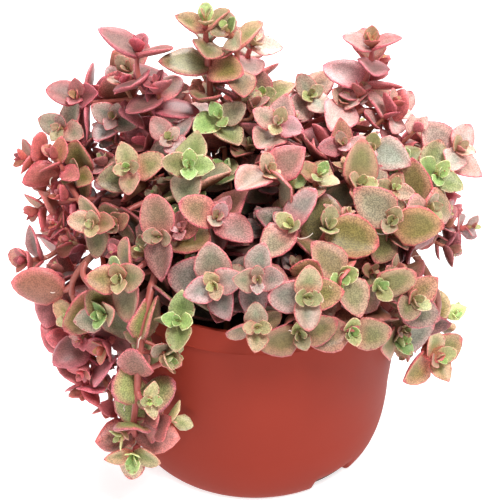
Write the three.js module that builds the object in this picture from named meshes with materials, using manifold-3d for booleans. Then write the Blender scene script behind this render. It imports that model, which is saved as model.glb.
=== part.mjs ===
// A trailing succulent with joined, heart-shaped leaves in a round nursery pot.
// Millimetres, +Z up, -Y is the front. The origin is on the plane that the pot's foot stands on, under the
// middle of the leaves. Everything is laid out from the pot's axis and moved to its place at the end.

import * as THREE from 'three';
import { mergeVertices } from 'three/addons/utils/BufferGeometryUtils.js';
import Module from 'manifold-3d';

const wasm = await Module();
wasm.setup();

// How far the pot's axis stands to the right of the middle of the leaves
const POT_AXIS_X = 3.9;

// Driving dimensions of the pot
const RIM_RADIUS = 52.5;
const POT_HEIGHT = 80;
const BAND_BOTTOM = 71.7;
const BAND_STEP = 0.45;
const BAND_FLARE = 0.3;
const SHOULDER_RADIUS = 47.9;
const SHOULDER_HEIGHT = 24.5;
const FOOT_RADIUS = 41.5;
const FOOT_WIDTH = 3;
const FOOT_SLOPE = 2;
const FLOOR_LIFT = 3.2;
const WALL = 1.4;
const WALL_AT_FOOT = 0.1;
const NOTCH_WIDTH = 15;
const NOTCH_HEIGHT = 4;
const NOTCH_REACH = 7;
const NOTCH_ANGLES = [37.5, 157.5, 277.5];
const DRAIN_RADIUS = 3.5;
const DRAIN_CIRCLE = 24;
const DRAIN_COUNT = 4;
const DRAIN_SIDES = 8;
const ROUND_SIDES = 32;
const ROUNDING_STEPS = 3;

// Driving dimensions of the soil
const SOIL_TOP = 70;
const SOIL_GAP = 0.3;
const SOIL_EDGE = 68;
const SOIL_RINGS = [1, 0.66, 0.33];
const SOIL_RELIEF = 1.1;
const SOIL_WAVES = [0.31, 0.27, 0.55, 0.2];
const WAVE_SHIFT = 1.1;
const WAVE_SHARE = 0.6;
const ROOT_DEPTH = 8;
const ROOT_RISE = 3.5;
const ROOT_CIRCLE = 43;
const ROOT_SPREAD = 0.62;
const ROOT_SPACING = 8;
const SPACING_ROUNDS = 80;
const HOLE_GAP = 0.35;
const HOLE_ABOVE = 6;

// Driving dimensions of the stems and leaves
const OVER_RIM = { reach: 46, below: 104, radius: 47, height: 90, crest: 96, drop: 60, share: 0.45 };
const BOW = { share: 0.4, rise: 6, back: 2 };
const BRANCH_RISE = 3;
const TIP_LEAD = 10;
const TIP_LEAD_SHARE = 0.3;
const STEM_HALF_TIP = 0.75;
const STEM_HALF_ROOT = 1.15;
const STEM_TAPER_LENGTH = 50;
const CURVE_STEPS = 8;
const LOOK_AHEAD = 1;
const FRAME_STEP = 2;
const RING_SPACING = 30;
const RING_TURN = 42;
const NODE_HALF = 0.75;
const YOUNG_NODE_HALF = 0.5;
const YOUNG_ZONE = 7;
const CLEARANCE = 0.35;
const SKIPPED_START = 3;
const LEAF_WIDTH = 0.88;
const LEAF_THICKNESS = 0.115;
const LEAF_BEND = 0.1;
const LEAF_TIP_LIFT = 0.06;
const LEAF_CUP = 0.16;
const BROADEST = [0.28, 0.5];
const SHOULDERS = [0.66, 0.4];
const YOUNG_BROADEST = [0.42, 0.46];
const BUD_GROWTH = 0.45;
const BUD_LENGTH = 3.4;

// Each pair of leaves: its distance below the tip, its length as a share of the stem's largest leaf,
// and how far it opens from the stem, in degrees
const PAIRS = [
  [2.6, 0.42, 42],
  [5.2, 0.64, 60],
  [9.5, 0.86, 72],
  [17, 1, 84],
  [27, 1, 92],
  [38, 0.95, 98],
  [50, 0.95, 98],
  [62, 0.95, 98],
];

// Stems placed by hand. Each row: name; tip in millimetres; where the tip looks, in degrees to the right of
// the front and above level; degrees that the first pair is turned about the stem; length of the largest
// leaf; how many pairs. Then, where it has them: skip, the pairs of PAIRS left out at the tip; spread, the
// share of the usual spacing; lift, degrees more that its leaves open for each pair further down; branch,
// that it grows off a stem nearby if it can; via, points on the way up from the soil.
const STEMS = [
  ['trailer', [-40, -56, 31], [-5, 0], 0, 15, 7,
    {
      skip: 1,
      lift: 9,
      via: [[-29, -30, 93], [-33, -44, 88], [-36, -52, 74], [-37.5, -53.5, 58], [-39.5, -52, 40]],
    }],
  ['spire', [-16, 16, 154], [0, 80], 90, 15, 6, { spread: 1.1 }],
  ['plum_top', [-38, 20, 142], [170, 78], 0, 16, 4, { skip: 2, spread: 1.15 }],
  ['crown', [2, 18, 125], [0, 52], 0, 15, 5],
  ['leaner', [-10, 14, 151], [-40, 58], 60, 14, 3, { spread: 1.2 }],
  ['back_leaner', [0, 28, 140], [60, 70], 120, 15, 4, { skip: 1, spread: 1.2 }],
  ['right_spire', [38, 25, 141], [0, 84], 0, 15, 5, { skip: 1, spread: 1.15 }],
  ['left_crown', [-47, 15, 118], [-10, 45], 72, 14, 4],
  ['left_brow', [-66, 18, 112], [-30, 35], 85, 14, 4],
  ['left_edge', [-79, 12, 104], [-85, 15], 70, 12, 4, { spread: 0.9 }],
  ['left_low_edge', [-76, 5, 86], [-75, -15], 60, 13, 4],
  ['bright', [-12, 7, 123], [-8, 52], 126, 15, 5],
  ['grey', [7, -1, 125], [0, 50], 68, 15, 5, { spread: 0.95 }],
  ['bright_front', [-21, -17, 119], [0, 48], 90, 15, 5, { spread: 0.95 }],
  ['dark_left', [-41, -11, 114], [-15, 42], 20, 13, 4, { spread: 0.9 }],
  ['small_green', [20, -18, 117], [15, 62], 45, 12, 4],
  ['bright_right', [46, -2, 112], [10, 50], 30, 12, 4, { spread: 0.9 }],
  ['right_crown', [60, -3, 107], [30, 42], 45, 15, 5, { spread: 0.95 }],
  ['right_dark', [60, 20, 107], [50, 55], 90, 14, 4, { skip: 1, branch: true }],
  ['green_bud', [44, -16, 110], [10, 50], 70, 11, 4, { spread: 0.9 }],
  ['front_star', [0, -56, 103], [0, 33], 90, 13, 5, { spread: 0.85 }],
  ['front_low', [0, -61, 89], [0, 28], 0, 13, 4, { spread: 0.85 }],
  ['left_low', [-24, -55, 87], [-15, 33], 0, 15, 5, { spread: 0.9 }],
  ['left_reach', [-73, -8, 66], [-40, 20], 100, 16, 5, { spread: 1.15, branch: true }],
  ['left_green', [-62, -22, 63], [-20, 38], 55, 13, 4, { spread: 0.9 }],
  ['right_low', [63, -20, 44], [28, 25], 10, 16, 4, { spread: 0.9 }],
  ['right_green', [70, -4, 51], [45, 35], 30, 11, 4, { spread: 1.25, branch: true }],
  ['four_leaf', [10, -37, 110], [-25, 55], 75, 15, 3, { skip: 2 }],
  ['broad_right', [22, -36, 109], [25, 62], -25, 17, 3, { skip: 3 }],
  ['oval_right', [42, -29, 106], [0, 40], -28, 16, 3, { skip: 3 }],
  ['oval_far', [56, -18, 104], [40, 30], -15, 15, 3, { skip: 3, branch: true }],
  ['fork', [-30, -38, 106], [-20, 35], 100, 16, 3, { skip: 2 }],
  ['mauve', [-12, -34, 111], [10, 55], 150, 15, 3, { skip: 2 }],
  ['pink_back', [30, 22, 120], [0, 60], 60, 17, 3, { skip: 2, branch: true }],
  ['cream_heart', [37, -2, 116], [-15, 40], 170, 15, 3, { skip: 2, branch: true }],
  ['low_green', [26, -48, 98], [5, 30], -60, 16, 3, { skip: 2 }],
  ['low_green_right', [38, -46, 93], [30, 45], 20, 14, 4, { skip: 2, branch: true }],
  ['rim_right', [46, -42, 69], [40, 20], 0, 16, 3, { skip: 2, branch: true }],
  ['rim_middle', [13, -58, 84], [10, 20], 10, 15, 3, { skip: 2, branch: true }],
  ['plum_hang', [-58, -30, 37], [-40, -55], 20, 15, 4, { skip: 1 }],
  ['shelf', [-61, 8, 101], [-40, 45], 10, 15, 4, { skip: 1, branch: true }],
  ['centre_low', [-13, -52, 98], [-15, 25], 30, 15, 4, { skip: 1 }],
  ['crest_left', [-30, 25, 120], [-10, 50], 20, 14, 4, { skip: 1 }],
  ['crest_right', [19, 25, 121], [10, 50], 120, 14, 4, { skip: 1 }],
  ['crest_far', [48, 22, 116], [20, 45], 40, 14, 4, { skip: 1, branch: true }],
  ['brow_left', [-28, 3, 117], [-10, 45], 140, 14, 4, { skip: 1, branch: true }],
  ['brow_right', [28, 0, 117], [10, 55], 10, 13, 3, { skip: 1, branch: true }],
  ['left_inner', [-52, -22, 100], [-25, 30], 10, 14, 3, { skip: 1, branch: true }],
  ['rim_bud', [-27, -54, 71], [0, 30], 0, 10, 3, { spread: 0.9, branch: true }],
  ['trailer_bud', [-33, -62, 61], [0, 30], 0, 10, 3, { spread: 0.8, branch: true }],
  ['far_right', [74, 2, 83], [60, 25], 30, 11, 4, { spread: 1.2, branch: true }],
  ['plum_side', [-64, -20, 49], [-60, -25], 60, 14, 3, { skip: 1, branch: true }],
  ['plum_inner', [-49, -40, 38], [-20, -50], 60, 15, 3, { skip: 1, branch: true }],
  ['rim_green', [29, -54, 82], [20, 20], 0, 15, 3, { skip: 2, branch: true }],
  ['gap_left', [-42, -46, 96], [-20, 30], 15, 16, 4, { skip: 1, branch: true }],
  ['gap_outer', [-49, -43, 80], [-35, 20], 30, 15, 4, { skip: 1, branch: true }],
  ['curtain', [-50, -38, 62], [-40, -10], 20, 14, 4, { skip: 1, branch: true }],
  ['plum_outer', [-67, -15, 42], [-60, -30], 0, 15, 4, { skip: 1, branch: true }],
  ['left_far', [-78, -8, 76], [-60, 10], 20, 14, 4, { skip: 1, branch: true }],
  ['middle_top', [4, -20, 119], [5, 55], 20, 16, 3, { skip: 2, branch: true }],
  ['middle_right', [33, -17, 112], [20, 55], 70, 16, 3, { skip: 2, branch: true }],
  ['middle_low', [15, -57, 97], [10, 25], 80, 15, 4, { skip: 1 }],
  ['right_side', [49, -46, 88], [35, 25], 30, 15, 4, { skip: 1 }],
  ['crest_gap', [36, 30, 118], [10, 50], 0, 16, 4, { skip: 1, branch: true }],
  ['left_top', [-60, 24, 121], [-35, 45], 20, 16, 4, { skip: 1, branch: true }],
  ['left_back', [-43, 32, 127], [-20, 60], 60, 16, 4, { skip: 1, branch: true }],
  ['right_top', [68, 10, 109], [50, 40], 20, 16, 4, { skip: 1, branch: true }],
].map(([name, tip, face, roll, size, pairs, more]) => {
  const usual = { skip: 0, spread: 1, lift: 0, branch: false, via: [] };
  return { name, tip, face, roll, size, pairs, ...usual, ...more };
});

// The rest of the mound: tips spread over an ellipsoid by the golden angle, clear of those above
const MOUND_CENTRE = [0, 0, 70];
const MOUND_HALF_AXES = [73, 65, 50];
const MOUND_POINTS = 110;
const MOUND_REACH = 1.3;
const MOUND_FRONT_HEIGHT = 0.25;
const MOUND_FRONT_EDGE = 0.1;
const MOUND_DEPTHS = [0.95, 1.07];
const MOUND_FIRST_TURN = 0.7;
const MOUND_UPTURN = 0.35;
const TIP_SPACING = 19;
const FILL_COUNT = 13;
const FILL_SIZES = [15, 18];
const FILL_STEM = { pairs: 4, skip: 0, spread: 1, lift: 0, branch: true, via: [] };
const FILL_SEED = 7;
const LEAF_SEED = 15;
const YOUNG_PLAY = 12;
const BARE_ABOVE_ROOT = 12;
const BARE_ABOVE_FOOT = 6;
const LEAF_JITTER = { open: 16, yaw: 16, roll: 26, size: 0.08 };
const JITTER_MOST = 1.4;

// What a leaf or a stem tries, in this order, until it is clear of what stands already
const LEAF_TRIES = [
  [0, 0, 1], [-10, 0, 1], [10, 0, 1], [0, 16, 1], [0, -16, 1], [-18, 0, 0.92], [18, 0, 0.92], [-10, 18, 0.9],
  [-10, -18, 0.9], [12, 18, 0.85], [12, -18, 0.85], [0, 0, 0.8], [-28, 0, 0.8], [26, 0, 0.8], [-20, 28, 0.75],
  [-20, -28, 0.75], [20, 28, 0.75], [20, -28, 0.75], [0, 0, 0.62], [-35, 0, 0.6], [30, 0, 0.6], [0, 40, 0.75],
  [0, -40, 0.75], [-45, 0, 0.8], [42, 0, 0.75], [0, 0, 0.5],
];
const ROOT_TURNS = [0, 8, -8, 16, -16, 26, -26, 38, -38, 52, -52];
const ROOT_PULLS = [1, 0.85, 0.7, 0.55, 0.4];
const ROOT_CLEAR = 4.6;
const STEM_CLEAR = 2.9;
const BRANCH_SHARES = [1, 0.8, 1.25, 0.6, 1.5, 1.8];
const BRANCH_REACH = 60;
const BRANCH_ROOT = 5;
const BRANCH_PARENTS = 6;
const BRANCH_USUAL = [12, 0.9];
const STEM_SAMPLE = 1.5;
const ROOT_SAMPLES = 9;
const FLOOR_ROOM = 1;
const LEAF_ROOM = { inside: 3.9, outside: 0.8, soil: 4, band: 2 };
const STEM_ROOM = { inside: 4.5, outside: 2.2 };

const vec = (a) => new THREE.Vector3(a[0], a[1], a[2]);
const radians = THREE.MathUtils.degToRad;
const UP = new THREE.Vector3(0, 0, 1);

function randomStream(seed) {
  let state = seed >>> 0;
  return () => {
    state = (state + 0x6d2b79f5) >>> 0;
    let t = state;
    t = Math.imul(t ^ (t >>> 15), t | 1);
    t ^= t + Math.imul(t ^ (t >>> 7), t | 61);
    return ((t ^ (t >>> 14)) >>> 0) / 4294967296;
  };
}

function facing(right, above) {
  const a = radians(right);
  const e = radians(above);
  return new THREE.Vector3(Math.sin(a) * Math.cos(e), -Math.cos(a) * Math.cos(e), Math.sin(e));
}

// The stems that fill the rest of the mound, but for the low part of its front
function fillStems(placed) {
  const draw = randomStream(FILL_SEED);
  const between = ([low, high]) => low + (high - low) * draw();
  const golden = Math.PI * (3 - Math.sqrt(5));
  const axes = vec(MOUND_HALF_AXES);
  const tips = placed.map((s) => vec(s.tip));
  const fill = [];
  for (let i = 0; i < MOUND_POINTS && fill.length < FILL_COUNT; i += 1) {
    const height = 1 - (MOUND_REACH * (i + 0.5)) / MOUND_POINTS;
    const across = Math.sqrt(Math.max(0, 1 - height * height));
    const turn = golden * i + MOUND_FIRST_TURN;
    const point = new THREE.Vector3(across * Math.cos(turn), across * Math.sin(turn), height);
    const depth = between(MOUND_DEPTHS);
    const roll = between([0, 180]);
    const size = between(FILL_SIZES);
    const tip = point.clone().multiply(axes).multiplyScalar(depth).add(vec(MOUND_CENTRE));
    const frontal = point.y < MOUND_FRONT_EDGE && height < MOUND_FRONT_HEIGHT;
    if (frontal || tips.some((t) => t.distanceTo(tip) < TIP_SPACING)) continue;
    const look = point.clone().divide(axes).normalize();
    look.z += MOUND_UPTURN;
    look.normalize();
    const face = [Math.atan2(look.x, -look.y), Math.asin(look.z)].map(THREE.MathUtils.radToDeg);
    const name = `mound_${fill.length + 1}`;
    fill.push({ ...FILL_STEM, name, tip: tip.toArray(), face, roll, size });
    tips.push(tip);
  }
  return fill;
}

// Roots start below their tips, drawn towards the middle, and push each other apart
function rootPlaces(stems) {
  let places = stems.map((s) => {
    const place = new THREE.Vector2(s.tip[0], s.tip[1]);
    return place.setLength(Math.min(ROOT_CIRCLE - 1, ROOT_SPREAD * place.length()));
  });
  for (let round = 0; round < SPACING_ROUNDS; round += 1) {
    const moved = places.map((here) => here.clone());
    places.forEach((here, i) => places.forEach((other, j) => {
      const away = here.clone().sub(other);
      const distance = away.length();
      if (i === j || distance >= ROOT_SPACING) return;
      moved[i].addScaledVector(away, (ROOT_SPACING / distance - 1) / 2);
    }));
    places = moved.map((here) => here.clampLength(0, ROOT_CIRCLE));
  }
  return places;
}

// A smooth line through the points, measured from the tip down
class StemLine {
  constructor(points) {
    const n = points.length;
    const beyond = (end, next) => end.clone().multiplyScalar(2).sub(next);
    const p = [beyond(points[0], points[1]), ...points, beyond(points[n - 1], points[n - 2])];
    const dense = [points[n - 1].clone()];
    for (let i = n - 2; i >= 0; i -= 1) {
      for (let k = CURVE_STEPS - 1; k >= 0; k -= 1) {
        dense.push(smooth(p[i], p[i + 1], p[i + 2], p[i + 3], k / CURVE_STEPS));
      }
    }
    this.points = dense;
    this.distances = [0];
    for (let i = 1; i < dense.length; i += 1) {
      this.distances.push(this.distances[i - 1] + dense[i].distanceTo(dense[i - 1]));
    }
    this.length = this.distances[dense.length - 1];
  }

  at(distance) {
    if (distance <= 0) return this.points[0].clone();
    if (distance >= this.length) return this.points[this.points.length - 1].clone();
    const i = this.distances.findIndex((d) => d >= distance);
    const share = (distance - this.distances[i - 1]) / (this.distances[i] - this.distances[i - 1]);
    return this.points[i - 1].clone().lerp(this.points[i], share);
  }

  // The direction towards the tip
  along(distance) {
    const above = this.at(Math.max(distance - LOOK_AHEAD, 0));
    return above.sub(this.at(Math.min(distance + LOOK_AHEAD, this.length))).normalize();
  }

  half(distance) {
    const share = Math.min(1, distance / STEM_TAPER_LENGTH);
    return STEM_HALF_TIP + (STEM_HALF_ROOT - STEM_HALF_TIP) * share;
  }
}

// The smooth curve from b to c between its neighbours a and d, its knots spaced by the root of each chord
function smooth(a, b, c, d, t) {
  const [ab, bc, cd] = [[a, b], [b, c], [c, d]].map(([p, q]) => Math.sqrt(p.distanceTo(q)));
  const slope = (p, q, r, pq, qr) => (q - p) / pq - (r - p) / (pq + qr) + (r - q) / qr;
  const at = (k) => {
    const from = bc * slope(a[k], b[k], c[k], ab, bc);
    const to = bc * slope(b[k], c[k], d[k], bc, cd);
    const bend = 2 * b[k] - 2 * c[k] + from + to;
    return b[k] + from * t + (3 * c[k] - 3 * b[k] - 2 * from - to) * t * t + bend * t * t * t;
  };
  return new THREE.Vector3(at('x'), at('y'), at('z'));
}

// Out of the soil or off its parent, over the rim where the tip hangs outside it, and straight into the tip
function stemPoints(stem, root, parent, below) {
  const tip = vec(stem.tip);
  const look = facing(...stem.face);
  const start = root ? new THREE.Vector3(root.x, root.y, SOIL_TOP) : parent.at(below);
  const points = [];
  if (root) {
    const heights = [SOIL_TOP - ROOT_DEPTH, SOIL_TOP, SOIL_TOP + ROOT_RISE];
    points.push(...heights.map((z) => start.clone().setZ(z)));
  } else {
    points.push(start.clone());
    start.addScaledVector(parent.along(below), BRANCH_RISE);
    start.addScaledVector(tip.clone().sub(start).normalize(), BRANCH_RISE);
    points.push(start.clone());
  }
  const reach = Math.hypot(tip.x, tip.y);
  const outward = (radius, z) => new THREE.Vector3((tip.x / reach) * radius, (tip.y / reach) * radius, z);
  if (stem.via.length) {
    points.push(...stem.via.map(vec));
  } else if (root && reach > OVER_RIM.reach && tip.z < OVER_RIM.below) {
    const top = Math.max(OVER_RIM.height, (tip.z + OVER_RIM.crest) / 2);
    points.push(outward(OVER_RIM.radius, top));
    const low = top + (tip.z - top) * OVER_RIM.share;
    if (tip.z < SOIL_TOP) points.push(outward((reach + OVER_RIM.drop) / 2, low));
  } else if (root) {
    const bow = start.clone().lerp(tip, BOW.share);
    points.push(bow.addScaledVector(UP, BOW.rise).addScaledVector(look, -BOW.back));
  }
  const lead = Math.min(TIP_LEAD, tip.distanceTo(start) * TIP_LEAD_SHARE);
  points.push(tip.clone().addScaledVector(look, -lead), tip);
  return points;
}

// Where the pot's wall, the soil and the floor are, with a little room to spare
function inPot(p) {
  const r = Math.hypot(p.x, p.y);
  if (p.z < FLOOR_ROOM) return true;
  if (r <= RIM_RADIUS - LEAF_ROOM.inside) return p.z < SOIL_TOP + LEAF_ROOM.soil;
  const slope = (RIM_RADIUS - SHOULDER_RADIUS) / (POT_HEIGHT - SHOULDER_HEIGHT);
  const side = SHOULDER_RADIUS + slope * (p.z - SHOULDER_HEIGHT);
  const wall = p.z > BAND_BOTTOM - LEAF_ROOM.band ? RIM_RADIUS : side;
  return r < wall + LEAF_ROOM.outside && p.z < POT_HEIGHT + LEAF_ROOM.outside;
}

// The same for the middle line of a stem, which may rise from the soil
function inRim(p) {
  const r = Math.hypot(p.x, p.y);
  return r > RIM_RADIUS - STEM_ROOM.inside && r < RIM_RADIUS + STEM_ROOM.outside
    && p.z < POT_HEIGHT + STEM_ROOM.outside;
}

function inSoil(p) {
  return p.z < SOIL_TOP + ROOT_RISE && Math.hypot(p.x, p.y) < RIM_RADIUS;
}

function samples(line) {
  const n = Math.ceil(line.length / STEM_SAMPLE);
  return Array.from({ length: n + 1 }, (_, i) => line.at((i * line.length) / n));
}

// The ways that a stem may come up, the likeliest first: off a stem nearby where it is a branch, or out of
// the soil
function waysUp(stem, place, standing) {
  const tip = vec(stem.tip);
  const far = (s) => vec(s.tip).distanceTo(tip);
  const parents = standing.filter((s) => stem.branch && s.root && far(s) < BRANCH_REACH)
    .sort((a, b) => far(a) - far(b)).slice(0, BRANCH_PARENTS);
  const off = parents.flatMap((parent) => BRANCH_SHARES
    .map((share) => ({ parent, below: share * (BRANCH_USUAL[0] + BRANCH_USUAL[1] * far(parent)) }))
    .filter(({ below }) => below < parent.line.length - ROOT_DEPTH - BRANCH_ROOT));
  const up = ROOT_PULLS.flatMap((pull) => ROOT_TURNS.map((turn) => (
    { root: place.clone().multiplyScalar(pull).rotateAround(new THREE.Vector2(), radians(turn)) })));
  return [...off, ...up];
}

// The first way up that is clear of the pot, the soil and the stems that stand already
function placeLine(stem, place, standing) {
  const look = facing(...stem.face);
  const level = new THREE.Vector3().crossVectors(UP, look).normalize();
  const raised = new THREE.Vector3().crossVectors(look, level);
  const roll = radians(stem.roll);
  const side = level.multiplyScalar(Math.cos(roll)).addScaledVector(raised, Math.sin(roll));
  for (const { root, parent, below } of waysUp(stem, place, standing)) {
    if (root && standing.some((o) => o.root && root.distanceTo(o.root) < ROOT_CLEAR)) continue;
    const line = new StemLine(stemPoints(stem, root, parent && parent.line, below));
    const points = samples(line);
    const sunk = points.slice(0, -ROOT_SAMPLES).some(inSoil);
    const free = standing.every((o) => {
      const own = parent && o.node === parent.node;
      const tested = own ? points.slice(0, 1 - BRANCH_ROOT) : points;
      return tested.every((p) => o.points.every((q) => p.distanceTo(q) > STEM_CLEAR));
    });
    if (sunk || points.some(inRim) || !free) continue;
    const off = parent ? { node: parent.node, parent: parent.name, below } : { node: stem.name };
    return { ...stem, root, line, side, points, ...off };
  }
  return null;
}

// The stem's own directions at a distance below the tip, carried down from the tip without twist
function frameAt(stem, distance) {
  const side = stem.side.clone();
  let along = stem.line.along(0);
  const n = Math.max(1, Math.floor(distance / FRAME_STEP));
  for (let i = 0; i <= n; i += 1) {
    along = stem.line.along((distance * i) / n);
    side.addScaledVector(along, -side.dot(along)).normalize();
  }
  const cross = new THREE.Vector3().crossVectors(along, side);
  return { along, side, cross, centre: stem.line.at(distance) };
}

// A leaf: low, right, high and left points where it is broadest, then its shoulders and its tip
function leafPoints(leaf, grow) {
  const { root, out, normal, width, length, breadth, young } = leaf;
  const rib = (share) => root.clone().addScaledVector(out, length * share)
    .addScaledVector(normal, -LEAF_BEND * length * share * share);
  const [share, half] = young ? YOUNG_BROADEST : BROADEST;
  const thick = (LEAF_THICKNESS * length + grow) / 2;
  const edge = (at, reach) => rib(at).addScaledVector(normal, LEAF_CUP * Math.abs(reach))
    .addScaledVector(width, reach + Math.sign(reach) * grow);
  const points = [
    rib(share).addScaledVector(normal, -thick),
    edge(share, breadth * half),
    rib(share).addScaledVector(normal, thick),
    edge(share, -breadth * half),
  ];
  const shoulder = breadth * SHOULDERS[1];
  if (!young) points.push(edge(SHOULDERS[0], shoulder), edge(SHOULDERS[0], -shoulder));
  const rise = (LEAF_TIP_LIFT - LEAF_BEND) * length;
  const tip = root.clone().addScaledVector(out, length + grow).addScaledVector(normal, rise);
  return [...points, tip];
}

// The leaf's four corners on the stem, for the test of what it meets
function rootPoints(leaf) {
  const corners = [[-1, -1], [1, -1], [1, 1], [-1, 1]];
  return corners.map(([w, n]) => leaf.root.clone().addScaledVector(leaf.width, w * leaf.stemHalf)
    .addScaledVector(leaf.normal, n * NODE_HALF));
}

// Faces of a leaf over points 0 to 3 at its root and the points above
const ROOT_FACES = [[0, 1, 4], [1, 5, 4], [1, 2, 5], [2, 6, 5], [2, 3, 6], [3, 7, 6], [3, 0, 7], [0, 4, 7]];
const YOUNG_BLADE = [[4, 5, 8], [5, 6, 8], [6, 7, 8], [7, 4, 8]];
const BLADE = [[4, 5, 8], [4, 8, 10], [5, 6, 8], [6, 10, 8], [6, 7, 9], [6, 9, 10], [7, 4, 9], [4, 10, 9]];
const LEAF_SHAPES = [YOUNG_BLADE, BLADE].map((blade) => {
  const faces = [...ROOT_FACES, ...blade];
  return { young: blade === YOUNG_BLADE, faces, blade, edges: edgesOf(faces), bladeEdges: edgesOf(blade) };
});

function edgesOf(faces) {
  const seen = new Map();
  faces.forEach((f) => f.forEach((a, i) => {
    const b = f[(i + 1) % 3];
    seen.set(`${Math.min(a, b)}_${Math.max(a, b)}`, [Math.min(a, b), Math.max(a, b)]);
  }));
  return [...seen.values()];
}

// Whether the segment from p to q goes through the triangle a, b, c
function pierces(p, q, a, b, c) {
  edge1.subVectors(b, a);
  edge2.subVectors(c, a);
  ray.subVectors(q, p);
  across.crossVectors(ray, edge2);
  const volume = edge1.dot(across);
  if (Math.abs(volume) < 1e-9) return false;
  offset.subVectors(p, a);
  const u = offset.dot(across) / volume;
  if (u < 0 || u > 1) return false;
  offset.cross(edge1);
  const v = ray.dot(offset) / volume;
  const t = edge2.dot(offset) / volume;
  return v >= 0 && u + v <= 1 && t >= 0 && t <= 1;
}
const [edge1, edge2, ray, across, offset] = Array.from({ length: 5 }, () => new THREE.Vector3());

function meet(p, pEdges, pFaces, q, qEdges, qFaces) {
  const into = (a, edges, b, faces) => edges.some(([i, j]) => (
    faces.some(([k, l, m]) => pierces(a[i], a[j], b[k], b[l], b[m]))));
  return into(p, pEdges, q, qFaces) || into(q, qEdges, p, pFaces);
}

function middleOf(points) {
  const c = points.reduce((sum, p) => sum.add(p), new THREE.Vector3()).multiplyScalar(1 / points.length);
  return { c, r: Math.max(...points.map((p) => p.distanceTo(c))) };
}

// A stem as short straight prisms, for the test of what a leaf meets
function prisms(stem) {
  const n = Math.max(3, Math.floor(stem.line.length / PRISM_LENGTH));
  const out = [];
  for (let i = 0; i < n; i += 1) {
    const rings = [i, i + 1].map((k) => ringAt(stem, (k * stem.line.length) / n, 0));
    const points = [...rings[1], ...rings[0]];
    out.push({ points, ...middleOf(points) });
  }
  return out;
}
const PRISM_LENGTH = 4;
const PRISM_FACES = [[0, 1, 5], [0, 5, 4], [1, 2, 6], [1, 6, 5], [2, 3, 7], [2, 7, 6], [3, 0, 4], [3, 4, 7]];
const PRISM_EDGES = [[0, 4], [1, 5], [2, 6], [3, 7]];

// Four corners round the stem
function ringAt(stem, distance, growth) {
  const f = frameAt(stem, distance);
  const h = stem.line.half(distance) + growth;
  return [[1, 1], [-1, 1], [-1, -1], [1, -1]].map(([a, b]) => f.centre.clone()
    .addScaledVector(f.side, a * h).addScaledVector(f.cross, b * h));
}

// How far below the tip a pair of leaves grows
function pairDistance(stem, level) {
  const start = stem.skip ? PAIRS[stem.skip][0] - SKIPPED_START : 0;
  return (PAIRS[level + stem.skip][0] - start) * stem.spread;
}

function makeLeaf(stem, level, f, heading, half, draws, attempt) {
  const older = level + stem.skip;
  const [, share, opening] = PAIRS[older];
  const ease = Math.min(JITTER_MOST, older / 2);
  const yaw = radians(attempt[1] + LEAF_JITTER.yaw * draws[1] * ease);
  const open = radians(opening + stem.lift * older + attempt[0] + LEAF_JITTER.open * draws[0] * ease);
  const roll = radians(LEAF_JITTER.roll * draws[2] * ease);
  const sideways = new THREE.Vector3().crossVectors(f.along, heading);
  const away = heading.clone().multiplyScalar(Math.cos(yaw)).addScaledVector(sideways, Math.sin(yaw));
  const out = f.along.clone().multiplyScalar(Math.cos(open)).addScaledVector(away, Math.sin(open));
  const flat = f.along.clone().multiplyScalar(Math.sin(open)).addScaledVector(away, -Math.cos(open));
  const across = new THREE.Vector3().crossVectors(f.along, away);
  const normal = flat.clone().multiplyScalar(Math.cos(roll)).addScaledVector(across, Math.sin(roll));
  const width = across.clone().multiplyScalar(Math.cos(roll)).addScaledVector(flat, -Math.sin(roll));
  const length = stem.size * share * attempt[2] * (1 + LEAF_JITTER.size * draws[3]);
  const root = f.centre.clone().addScaledVector(heading, half);
  const shape = LEAF_SHAPES[older === 0 ? 0 : 1];
  return { root, out, normal, width, length, ...shape, breadth: LEAF_WIDTH * length, stemHalf: half };
}

// Leaves grow level by level, the youngest first, and each takes the first try that is clear
function growLeaves(stems) {
  const draw = randomStream(LEAF_SEED);
  const leaves = [];
  const deepest = Math.max(...stems.map((s) => s.pairs));
  for (let level = 0; level < deepest; level += 1) {
    stems.forEach((stem, index) => {
      if (level >= stem.pairs || level + stem.skip >= PAIRS.length) return;
      const distance = pairDistance(stem, level);
      if (distance > stem.line.length - (stem.root ? BARE_ABOVE_ROOT : BARE_ABOVE_FOOT)) return;
      const f = frameAt(stem, distance);
      const half = stem.line.half(distance);
      const axis = level % 2 === 0 ? f.side : f.cross;
      for (const sign of [1, -1]) {
        const draws = [0, 0, 0, 0].map(() => 2 * draw() - 1);
        const heading = axis.clone().multiplyScalar(sign);
        for (const attempt of LEAF_TRIES) {
          if (level === 0 && (attempt[1] !== 0 || Math.abs(attempt[0]) > YOUNG_PLAY)) continue;
          const leaf = makeLeaf(stem, level, f, heading, half, draws, attempt);
          if (!clearLeaf(leaf, index, stems, leaves)) continue;
          const points = [...rootPoints(leaf), ...leafPoints(leaf, 0)];
          leaves.push({ ...leaf, index, level, sign, points, ...middleOf(points.slice(4)) });
          break;
        }
      }
    });
  }
  return leaves;
}

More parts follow.
